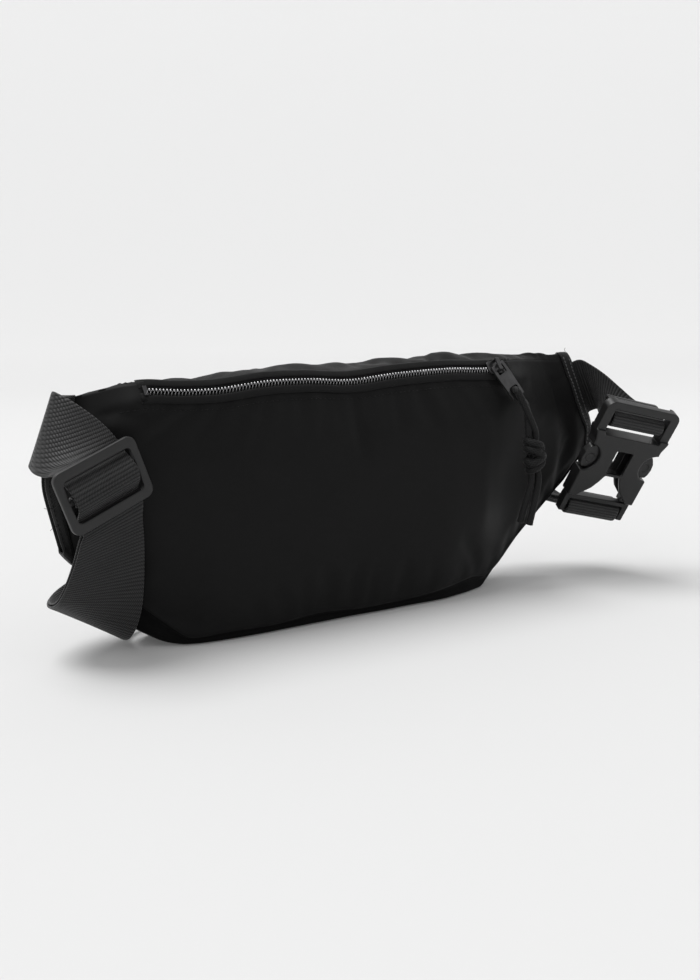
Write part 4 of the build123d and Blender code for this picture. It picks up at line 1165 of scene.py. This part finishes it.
def braided(name, P_mm, radius, body, mat, slot="cord", bulge=0.07, seg=22, step=0.42, ends=(True, True), strands=8):
    """A braided tube along a line, with its end melted into a small bead where asked."""
    P = resample(P_mm, step)
    n = len(P)
    T = np.gradient(P, axis=0)
    T /= np.linalg.norm(T, axis=1, keepdims=True)
    a = np.cross(T[0], (0.3, 1.0, 0.2))
    a = norm(a)
    verts, faces, uvs = [], [], []
    s = 0.0
    for i in range(n):
        a = norm(a - T[i] * a.dot(T[i]))
        b = np.cross(T[i], a)
        if i:
            s += np.linalg.norm(P[i] - P[i - 1])
        left = (n - 1 - i) * step
        r0 = radius
        if ends[1] and left < 1.4:
            r0 = radius * (1.0 + 0.10 * math.sin(math.pi * left / 1.4)) * math.sqrt(max(0.05, min(1.0, (left + 0.25) / 0.7)))
        if ends[0] and i * step < 0.8:
            r0 = radius * math.sqrt(max(0.05, min(1.0, (i * step + 0.2) / 0.8)))
        for k in range(seg):
            ang = 2 * math.pi * k / seg
            ph = strands / 2 * ang
            wv = max(math.cos(ph + 2 * math.pi * s / 3.8), math.cos(ph - 2 * math.pi * s / 3.8))
            if ends[1] and left < 2.0:
                wv = 0.6
            r = r0 - bulge + bulge * wv
            verts.append(P[i] + (a * math.cos(ang) + b * math.sin(ang)) * r)
            uvs.append((s, k / seg))
    for i in range(n - 1):
        for k in range(seg):
            q = (k + 1) % seg
            faces.append((i * seg + k, i * seg + q, (i + 1) * seg + q, (i + 1) * seg + k))
    faces.append(list(range(seg))[::-1])
    faces.append([(n - 1) * seg + k for k in range(seg)])
    o = make(name, verts, faces, uvs)
    fix_normals(o)
    set_mat(o, mat)
    return o, P


KNOT_AXIS = -UP
KA = norm(np.cross(KNOT_AXIS, (0.2, 1.0, 0.1)))
KB = np.cross(KNOT_AXIS, KA)
KLEN = float(np.linalg.norm(KNOT_TOP - KNOT_BOTTOM))


def wrap(name, s0, s1, turns, phase, radius, tube_r, tip):
    """One turn of the knot: a strand that climbs round the knot's axis and tucks in at both ends."""
    pts = []
    n = 60
    for i in range(n + 1):
        f = i / n
        ang = phase + 2 * math.pi * turns * f
        tuck = min(1.0, f / 0.10, (1 - f) / 0.10)
        r = radius * (0.35 + 0.65 * math.sin(math.pi / 2 * tuck))
        s = lerp(s0, s1, f) + tip * math.cos(ang)
        pts.append(KNOT_TOP + (0, -1.1, 0) + KNOT_AXIS * s + (KA * math.cos(ang) + KB * math.sin(ang)) * r)
    o, _ = braided(name, pts, tube_r, "pull_cord", MAT["cord"], seg=18, step=0.5, ends=(True, True))
    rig.ride(o, "pull_cord")
    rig.slot(o, "cord")
    return o


wraps = [
    wrap("knot_turn_1", 3.4, 5.2, 1.15, 0.4, 4.7, 2.30, 2.2),
    wrap("knot_turn_2", 8.2, 9.8, 1.15, 0.9, 5.1, 2.30, 2.3),
    wrap("knot_turn_3", 12.8, 14.6, 1.15, 2.4, 5.1, 2.35, -2.0),
    wrap("knot_turn_4", 17.2, 18.8, 1.15, 3.6, 4.5, 2.20, -2.2),
]
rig.replaces(wraps[0], "pull_cord_knot")
LINE_A = nurbs_line(STRAND_A)
LINE_B = nurbs_line(STRAND_B)
cord_a, PA = braided("cord_strand_a", LINE_A * 1000.0 + ORIGIN, CORD_D / 2, "pull_cord", MAT["cord"], ends=(False, True))
cord_b, PB = braided("cord_strand_b", LINE_B * 1000.0 + ORIGIN, CORD_D / 2, "pull_cord", MAT["cord"], ends=(False, True))
for o, P, rep, wp in ((cord_a, PA, ("pull_cord", "pull_cord_tail_a"), wraps), (cord_b, PB, ("pull_cord_tail_b",), ())):
    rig.blend(o, "zip_puller", "pull_cord", start=tuple(row(tab_point(20.5, 0.0, 0.0))), end=tuple(row(tab_point(30.5, 0.0, 0.0))))
    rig.slot(o, "cord")
    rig.replaces(o, *rep)
    path = row(P)
    length = float(np.linalg.norm(np.diff(path, axis=0), axis=1).sum())
    print("cord", o.name, "length", round(length, 4))
    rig.cord(o, exit=tuple(path[0]), length=round(length, 3), diameter=CORD_D / 1000.0, far_end="bare", stiffness="limp", lay="hanging",
            path=[tuple(p) for p in path], with_pieces=list(wp))

# ----------------------------------------------------------------------------
# Belt webbing
# ----------------------------------------------------------------------------
GLIDE_C = np.array((-158.2, -39.0, 97.2))
GLIDE_U = norm((0.925, 0.163, 0.344))
GLIDE_V = np.array((-0.343, -0.035, 0.939))
GLIDE_V = norm(GLIDE_V - GLIDE_U * GLIDE_U.dot(GLIDE_V))
GLIDE_N = norm(np.cross((0.925, 0.163, 0.344), (-0.343, -0.035, 0.939)))
BUCKLE_C = np.array((190.0, -43.0, 78.0))
BUCKLE_U = norm((0.945, -0.232, -0.232))
BUCKLE_V = np.array((0.093, -0.487, 0.868))
BUCKLE_V = norm(BUCKLE_V - BUCKLE_U * BUCKLE_U.dot(BUCKLE_V))
BUCKLE_N = norm(np.cross(BUCKLE_U, BUCKLE_V))
H = 19.0


def glide(u, v, n):
    return GLIDE_C + GLIDE_U * u + GLIDE_V * v + GLIDE_N * n


def buckle(u, v, n):
    return BUCKLE_C + BUCKLE_U * u + BUCKLE_V * v + BUCKLE_N * n


def across_glide(v, n):
    return (glide(H, v, n), glide(-H, v, n))


def across_buckle(v, n):
    return (buckle(H, v, n), buckle(-H, v, n))


def left_tip(s):
    c = np.array((-169.0, 0.0, 119.5)) + np.array((-0.966, 0.0, 0.258)) * s
    t = norm((0.258, 0.0, 0.966))
    return (c + t * H, c - t * H)


def right_tip(s):
    c = np.array((194.5, -3.5, 123.0)) + np.array((0.9, 0.0, 0.436)) * s
    t = norm((-0.436, 0.0, 0.9))
    return (c + t * H, c - t * H)


WING_TO_GLIDE = [
    left_tip(-11.0), left_tip(-6.0), left_tip(-1.0), left_tip(2.0), left_tip(4.5),
    ((-168.6, -1.6, 140.8), (-183.0, -1.6, 104.4)),
    ((-170.6, -7.0, 142.8), (-183.9, -4.5, 103.6)),
    ((-169.4, -13.0, 141.8), (-184.3, -9.0, 102.6)),
    ((-165.2, -19.5, 138.4), (-184.4, -14.5, 102.0)),
    ((-158.6, -25.4, 132.4), (-184.0, -20.5, 101.8)),
    ((-152.2, -30.0, 125.6), (-183.2, -27.0, 102.2)),
    ((-147.6, -33.4, 118.6), (-182.4, -33.8, 103.4)),
    across_glide(13.2, -3.3), across_glide(10.6, -2.8),
    across_glide(8.7, -1.1), across_glide(6.6, 1.2), across_glide(4.2, 3.2), across_glide(1.5, 4.2), across_glide(-1.5, 4.2), across_glide(-4.2, 3.2),
    across_glide(-6.6, 1.2), across_glide(-8.7, -1.1), across_glide(-10.6, -2.8), across_glide(-13.2, -3.3), across_glide(-16.5, -3.5), across_glide(-19.5, -3.8),
]
GLIDE_TO_BUCKLE = [
    across_glide(-19.5, -3.8),
    ((-134.8, -30.5, 78.5), (-171.0, -36.8, 68.4)),
    ((-133.4, -27.6, 65.0), (-173.0, -32.0, 57.0)),
    ((-132.8, -25.0, 51.0), (-175.5, -27.6, 47.0)),
    ((-132.8, -22.8, 38.0), (-177.6, -23.8, 40.0)),
    ((-133.6, -20.0, 25.0), (-179.0, -19.4, 35.4)),
    ((-135.3, -15.5, 14.0), (-179.8, -13.5, 32.8)),
    ((-136.4, -9.0, 7.6), (-179.6, -7.0, 31.4)),
    ((-136.0, -1.0, 4.8), (-178.0, 0.0, 31.0)),
    ((-133.0, 8.5, 3.8), (-174.0, 8.5, 31.6)),
    ((-127.0, 18.0, 3.4), (-165.0, 19.0, 33.4)),
    ((-117.0, 27.0, 3.4), (-148.5, 29.0, 37.5)),
    ((-102.0, 33.0, 5.0), (-123.0, 35.5, 41.5)),
    ((-82.0, 36.5, 7.2), (-98.0, 38.5, 43.2)),
    ((-55.0, 38.5, 12.0), (-68.0, 39.5, 49.0)),
    ((-15.0, 39.5, 20.6), (-25.0, 39.5, 57.4)),
    ((30.0, 39.5, 31.6), (20.0, 39.5, 68.4)),
    ((70.0, 39.0, 41.0), (60.0, 38.5, 77.8)),
    ((104.0, 37.0, 48.5), (94.0, 36.0, 85.0)),
    ((134.0, 33.5, 52.5), (121.0, 31.0, 88.0)),
    ((160.0, 27.0, 51.5), (141.0, 24.0, 85.0)),
    ((178.0, 18.0, 47.5), (156.0, 13.5, 78.0)),
    ((195.0, 7.0, 43.0), (165.0, 9.0, 66.5)),
    ((205.0, -2.0, 41.5), (171.0, 3.4, 54.2)),
    ((207.5, -12.0, 44.5), (173.0, -6.5, 52.0)),
    across_buckle(-33.4, -10.5),
    across_buckle(-33.0, -6.5), across_buckle(-32.9, -3.0), across_buckle(-33.1, 0.4),
    across_buckle(-34.4, 2.8), across_buckle(-37.2, 3.5), across_buckle(-40.3, 3.5), across_buckle(-42.8, 2.5), across_buckle(-44.0, 0.6), across_buckle(-44.2, -1.4),
]
SHORT_CTRL = [
    right_tip(-13.0), right_tip(-8.0), right_tip(-3.0), right_tip(0.0), right_tip(2.5),
    ((192.0, -6.6, 142.2), (209.3, -5.6, 108.2)),
    ((195.0, -12.0, 139.4), (208.0, -9.0, 105.6)),
    ((199.0, -22.0, 133.2), (202.8, -16.0, 102.8)),
    ((203.6, -33.0, 124.2), (195.6, -25.0, 103.2)),
    ((209.4, -44.0, 114.6), (187.0, -34.0, 107.6)),
    across_buckle(37.0, -16.0), across_buckle(36.8, -10.5), across_buckle(36.4, -6.4), across_buckle(35.5, -2.8), across_buckle(34.2, 0.6),
    across_buckle(32.0, 2.8), across_buckle(29.4, 3.5), across_buckle(26.9, 2.9), across_buckle(25.3, 1.0), across_buckle(25.2, -1.3),
    across_buckle(27.0, -3.4), across_buckle(30.0, -4.6), across_buckle(32.4, -6.0),
]


def belt_rows(ctrl, step):
    """Rows (A edge, B edge) along control rows, centripetal Catmull-Rom, about one step apart."""
    C = np.array([[np.asarray(a, float), np.asarray(b, float)] for a, b in ctrl])
    M = C.mean(axis=1)
    d = np.linalg.norm(np.diff(M, axis=0), axis=1)
    knots = np.concatenate(([0], np.cumsum(np.maximum(1e-3, d) ** 0.5)))
    out = []
    n = len(C)
    for i in range(n - 1):
        m = max(1, int(round(d[i] / step)))
        for k in range(m):
            t = knots[i] + (knots[i + 1] - knots[i]) * k / m
            p1, p2, t1, t2 = C[i], C[i + 1], knots[i], knots[i + 1]
            p0, t0 = (C[i - 1], knots[i - 1]) if i > 0 else (2 * p1 - p2, t1 - (t2 - t1))
            p3, t3 = (C[i + 2], knots[i + 2]) if i < n - 2 else (2 * p2 - p1, t2 + (t2 - t1))
            a1 = p0 * (t1 - t) / (t1 - t0) + p1 * (t - t0) / (t1 - t0)
            a2 = p1 * (t2 - t) / (t2 - t1) + p2 * (t - t1) / (t2 - t1)
            a3 = p2 * (t3 - t) / (t3 - t2) + p3 * (t - t2) / (t3 - t2)
            b1 = a1 * (t2 - t) / (t2 - t0) + a2 * (t - t0) / (t2 - t0)
            b2 = a2 * (t3 - t) / (t3 - t1) + a3 * (t - t1) / (t3 - t1)
            out.append(b1 * (t2 - t) / (t2 - t1) + b2 * (t - t1) / (t2 - t1))
    out.append(C[-1])
    return np.array(out)


def belt_normals(rows):
    M = rows.mean(axis=1)
    T = np.gradient(M, axis=0)
    n = np.cross(T, rows[:, 1] - rows[:, 0])
    return n / np.linalg.norm(n, axis=1, keepdims=True)


PITCH = 1.8


def even_rows(rows, normals, step):
    """The same belt with rows an even step apart along its middle, and each row's distance."""
    M = rows.mean(axis=1)
    s = np.concatenate(([0], np.cumsum(np.linalg.norm(np.diff(M, axis=0), axis=1))))
    n = int(s[-1] / step) + 1
    t = np.linspace(0, s[-1], n)
    R = np.stack([[np.interp(t, s, rows[:, e, c]) for c in range(3)] for e in (0, 1)]).transpose(2, 0, 1)
    Nn = np.stack([np.interp(t, s, normals[:, c]) for c in range(3)], axis=1)
    Nn /= np.linalg.norm(Nn, axis=1, keepdims=True)
    return R, Nn, t


# section across the belt: position over the half width, half thickness
ACROSS = [(-1.0, 0.20), (-0.990, 0.50), (-0.965, 0.66), (-0.91, 0.70), (-0.80, 0.66), (-0.55, 0.66), (-0.28, 0.67), (0.0, 0.67),
          (0.28, 0.67), (0.55, 0.66), (0.80, 0.66), (0.91, 0.70), (0.965, 0.66), (0.990, 0.50), (1.0, 0.20)]
CUPPED = {"on": 0.35}


def belt(name, R, Nn, t, nodes, slot="webbing", mat="webbing", wave=0.25, s0=0.0, ribs=0.10, slanted=None):
    # slanted = (direction, row where the ribs turn square to the belt): near a diagonal fold the ribs lie askew
    sec = [(u, h) for u, h in ACROSS] + [(u, -h) for u, h in ACROSS[::-1]]
    m = len(sec)
    verts, faces, uvs = [], [], []
    for i in range(len(R)):
        a, b = R[i]
        c = (a + b) / 2
        w = (a - b) / 2
        square = 1.0 if slanted is None else min(1.0, max(0.0, (t[i] - slanted[1]) / 6.0))
        rib = square * ribs * (abs(math.sin(math.pi * (t[i] + s0) / PITCH)) - 0.6)
        for u, h in sec:
            lift = 0.0
            if wave:
                lift = wave * nz((t[i] + s0, u * 19.0, 0.0), 34.0, 4.0) * abs(u) ** 1.5
            hh = h + (rib if h > 0 else -rib) * (1.0 if abs(u) < 0.93 else 0.4)
            verts.append(c + w * u + Nn[i] * (hh + lift))
            if slanted is None:
                uvs.append((t[i] + s0, u * 19.0))
            else:
                uvs.append((float((c + w * u).dot(slanted[0])), u * 19.0))
    for i in range(len(R) - 1):
        for k in range(m):
            q = (k + 1) % m
            faces.append((i * m + k, i * m + q, (i + 1) * m + q, (i + 1) * m + k))
    faces.append(list(range(m))[::-1])
    faces.append([(len(R) - 1) * m + k for k in range(m)])
    o = make(name, verts, faces, uvs)
    fix_normals(o)
    set_mat(o, MAT[mat])
    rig.slot(o, slot)
    if nodes:
        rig.replaces(o, *nodes)
    return o


STEP = PITCH / 4
long_c = belt_rows(WING_TO_GLIDE[:-1] + GLIDE_TO_BUCKLE, 1.2)
long_n = belt_normals(long_c)
LR, LN, LT = even_rows(long_c, long_n, STEP)
LM = LR.mean(axis=1)


def nearest(M, p):
    return int(np.argmin(np.linalg.norm(M - np.asarray(p), axis=1)))


i_glide = nearest(LM, glide(0, 0, 4.3))
i_back = nearest(LM, (0.0, 39.5, 42.0))
cut = lambda a, b: (LR[a:b + 1], LN[a:b + 1], LT[a:b + 1] - LT[a])
R_, N_, T_ = cut(0, i_glide)
belt_a = belt("belt_wing_to_adjuster", R_, N_, T_, ("strap_long",), s0=LT[0], slanted=(-GLIDE_V, LT[nearest(LM, glide(0, 15.0, -3.3))] - LT[0]))
R_, N_, T_ = cut(i_glide, i_back)
belt_b = belt("belt_adjuster_to_back", R_, N_, T_, (), s0=LT[i_glide])
R_, N_, T_ = cut(i_back, len(LR) - 1)
belt_c = belt("belt_back_to_buckle", R_, N_, T_, (), s0=LT[i_back])

# second layer: behind the first, round the adjuster's middle bar
LAYER = 1.9
f0 = nearest(LM, np.mean(np.array(((-134.8, -30.5, 78.5), (-171.0, -36.8, 68.4))), axis=0))
f1 = nearest(LM, np.mean(np.array(((207.5, -12.0, 44.5), (173.0, -6.5, 52.0))), axis=0))
core_r = LR[f0:f1 + 1] + LN[f0:f1 + 1][:, None, :] * LAYER
core_n = LN[f0:f1 + 1]
head = [
    across_glide(-2.5, 1.6), across_glide(-0.2, 2.45), across_glide(2.0, 1.6), across_glide(2.6, -0.3),
    across_glide(1.4, -2.4), across_glide(-1.5, -3.9), across_glide(-6.0, -5.0), across_glide(-12.0, -5.4), across_glide(-18.0, -5.8),
    tuple(core_r[0]), tuple(core_r[10]),
]
head_r = belt_rows(head, 0.9)
i_join = nearest(head_r.mean(axis=1), core_r[0].mean(axis=0))
head_n = belt_normals(head_r)
tail = [tuple(core_r[-12]), tuple(core_r[-1]), across_buckle(-46.0, -10.0), across_buckle(-45.8, -5.5), across_buckle(-44.9, -2.9)]
tail_r = belt_rows(tail, 0.9)
i_tail = nearest(tail_r.mean(axis=1), core_r[-1].mean(axis=0))
tail_n = belt_normals(tail_r)
SR = np.concatenate((head_r[:i_join], core_r, tail_r[i_tail + 1:]))
SN = np.concatenate((head_n[:i_join], core_n, tail_n[i_tail + 1:]))
SR, SN, ST = even_rows(SR, SN, STEP)
SM = SR.mean(axis=1)
j_back = nearest(SM, (0.0, 41.4, 42.0))
belt_d = belt("belt_return_adjuster", SR[:j_back + 1], SN[:j_back + 1], ST[:j_back + 1], ("strap_return",), s0=0.4)
belt_e = belt("belt_return_buckle", SR[j_back:], SN[j_back:], ST[j_back:] - ST[j_back], (), s0=ST[j_back] + 0.4)
SHR = belt_rows(SHORT_CTRL, 1.0)
SHN = belt_normals(SHR)
SHR, SHN, SHT = even_rows(SHR, SHN, STEP)
belt_s = belt("belt_short", SHR, SHN, SHT, ("strap_short",))
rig.ride(belt_s, "bag")

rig.blend(belt_a, "bag", "tri_glide", start=tuple(row((-170.0, -16.0, 132.0))), end=tuple(row(glide(0, 17.0, -3))))
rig.blend(belt_b, "tri_glide", "bag", start=tuple(row(glide(0, -17.0, -3))), end=tuple(row((-158.0, -25.0, 45.0))))
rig.blend(belt_d, "tri_glide", "bag", start=tuple(row(glide(0, -17.0, -3))), end=tuple(row((-158.0, -25.0, 45.0))))
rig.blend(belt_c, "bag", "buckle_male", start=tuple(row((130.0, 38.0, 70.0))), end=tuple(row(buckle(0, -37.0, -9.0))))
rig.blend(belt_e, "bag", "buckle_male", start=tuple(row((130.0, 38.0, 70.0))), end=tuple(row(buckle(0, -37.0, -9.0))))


# ----------------------------------------------------------------------------
# Bindings at the wings' ends
# ----------------------------------------------------------------------------
def binding(name, i_end, direction, nodes, width=7.5):
    """A folded tape over a wing's end, following the outline, with two rows of stitches."""
    i_in = i_end + direction * 3
    verts, faces, uvs = [], [], []
    outl = []
    for j in range(RN):
        e, q = G[i_end, j], G[i_in, j]
        d = norm(q - e)
        n = NORMAL[i_end + direction * 2, j]
        n = norm(n - d * n.dot(d))
        outl.append((e, d, n))
    prof = [(width, 0.15), (width, 0.95), (width * 0.6, 1.15), (width * 0.25, 1.15), (-0.5, 0.95), (-1.0, 0.35), (-0.6, -0.3), (0.6, -0.3), (width * 0.5, -0.1)]
    m = len(prof)
    s = 0.0
    for j, (e, d, n) in enumerate(outl):
        if j:
            s += np.linalg.norm(e - outl[j - 1][0])
        for k, (a, h) in enumerate(prof):
            verts.append(e + d * a + n * (h + 0.12 * nz((s, a, 0), 7.0, 3.0)))
            uvs.append((s, a))
    for j in range(RN):
        j2 = (j + 1) % RN
        for k in range(m):
            q = (k + 1) % m
            faces.append((j * m + k, j * m + q, j2 * m + q, j2 * m + k))
    o = make(name, verts, faces, uvs)
    fix_normals(o)
    piece(o, "bag", "binding_tape", MAT["binding_tape"], nodes)
    for q, a in ((0, width * 0.78), (1, width * 0.2)):
        for label, j0, j1 in (("front", jf, jt + 4), ("back", jb, RN - 1)):
            P = np.array([outl[j][0] + outl[j][1] * a + outl[j][2] * 1.05 for j in range(j0, j1)])
            Nn = np.array([outl[j][2] for j in range(j0, j1)])
            # the right binding's stitches are painted pale as a painted highlight, and drawn a little thicker
            highlight_side = direction < 0
            stitches(f"{name}_stitch_{label}_{q}", P, Nn, length=2.1, gap=0.5, r=0.40 if highlight_side else 0.26, mat="thread_painted_highlight" if highlight_side else "thread")
    return o


binding("binding_left", 0, 1, ("wing_binding_left",))
binding("binding_right", NS - 1, -1, ("wing_binding_right",))


# ribs in the socket's back wall, behind its centre hole
def socket_rib(name, u0, u1, v0, v1, n0=-5.3, n1=-3.5):
    verts = [buckle(u, v, n) for u in (u0, u1) for v in (v0, v1) for n in (n0, n1)]
    faces = [(0, 1, 3, 2), (4, 6, 7, 5), (0, 4, 5, 1), (2, 3, 7, 6), (0, 2, 6, 4), (1, 5, 7, 3)]
    o = make(name, verts, faces, smooth=False)
    fix_normals(o)
    return piece(o, "bag", "buckle_plastic", MAT["buckle_plastic"])


socket_rib("socket_rib_side", 2.1, 6.4, -12.0, 10.4)
socket_rib("socket_rib_low", -6.4, 2.4, -12.0, -3.2, -5.2, -3.6)


# loose thread ends at the seams
def thread(name, pts, r=0.14):
    P = resample(pts, 0.5)
    K = 6
    T = np.gradient(P, axis=0)
    verts, faces = [], []
    for i, p in enumerate(P):
        t = norm(T[i])
        a = norm(np.cross(t, (0.2, 0.9, 0.4)))
        b = np.cross(t, a)
        for k in range(K):
            g = 2 * math.pi * k / K
            verts.append(p + (a * math.cos(g) + b * math.sin(g)) * r)
    for i in range(len(P) - 1):
        for k in range(K):
            q = (k + 1) % K
            faces.append((i * K + k, i * K + q, (i + 1) * K + q, (i + 1) * K + k))
    faces.append(list(range(K))[::-1])
    faces.append([(len(P) - 1) * K + k for k in range(K)])
    o = make(name, verts, faces)
    fix_normals(o)
    return piece(o, "bag", "shell_fabric", MAT["thread"])


e = G[NS - 1, STARTS["top"] + 8]
thread("thread_end_right", [e + (0.5, 0, -1), e + (-0.3, -0.3, 1.2), e + (-1.4, -0.6, 2.6), e + (-1.0, -1.0, 3.9)])
e = G[0, jf + 12]
thread("thread_end_left_1", [e + (0.5, -1.0, 0), e + (-1.4, -1.6, 0.3), e + (-3.2, -1.8, 0.2), e + (-4.6, -1.6, 0.8)])
e = G[0, jf + 7]
thread("thread_end_left_2", [e + (0.5, -1.0, 0), e + (-1.2, -1.5, 0.2), e + (-2.8, -1.9, -0.5), e + (-4.2, -2.0, -1.6)])

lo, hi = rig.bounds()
size = {"cad_box": [list(CAD_BOX[0]), list(CAD_BOX[1])], "visual_box": [list(lo), list(hi)]}
try:
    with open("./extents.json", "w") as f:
        json.dump(size, f, indent=1)
except OSError:
    pass
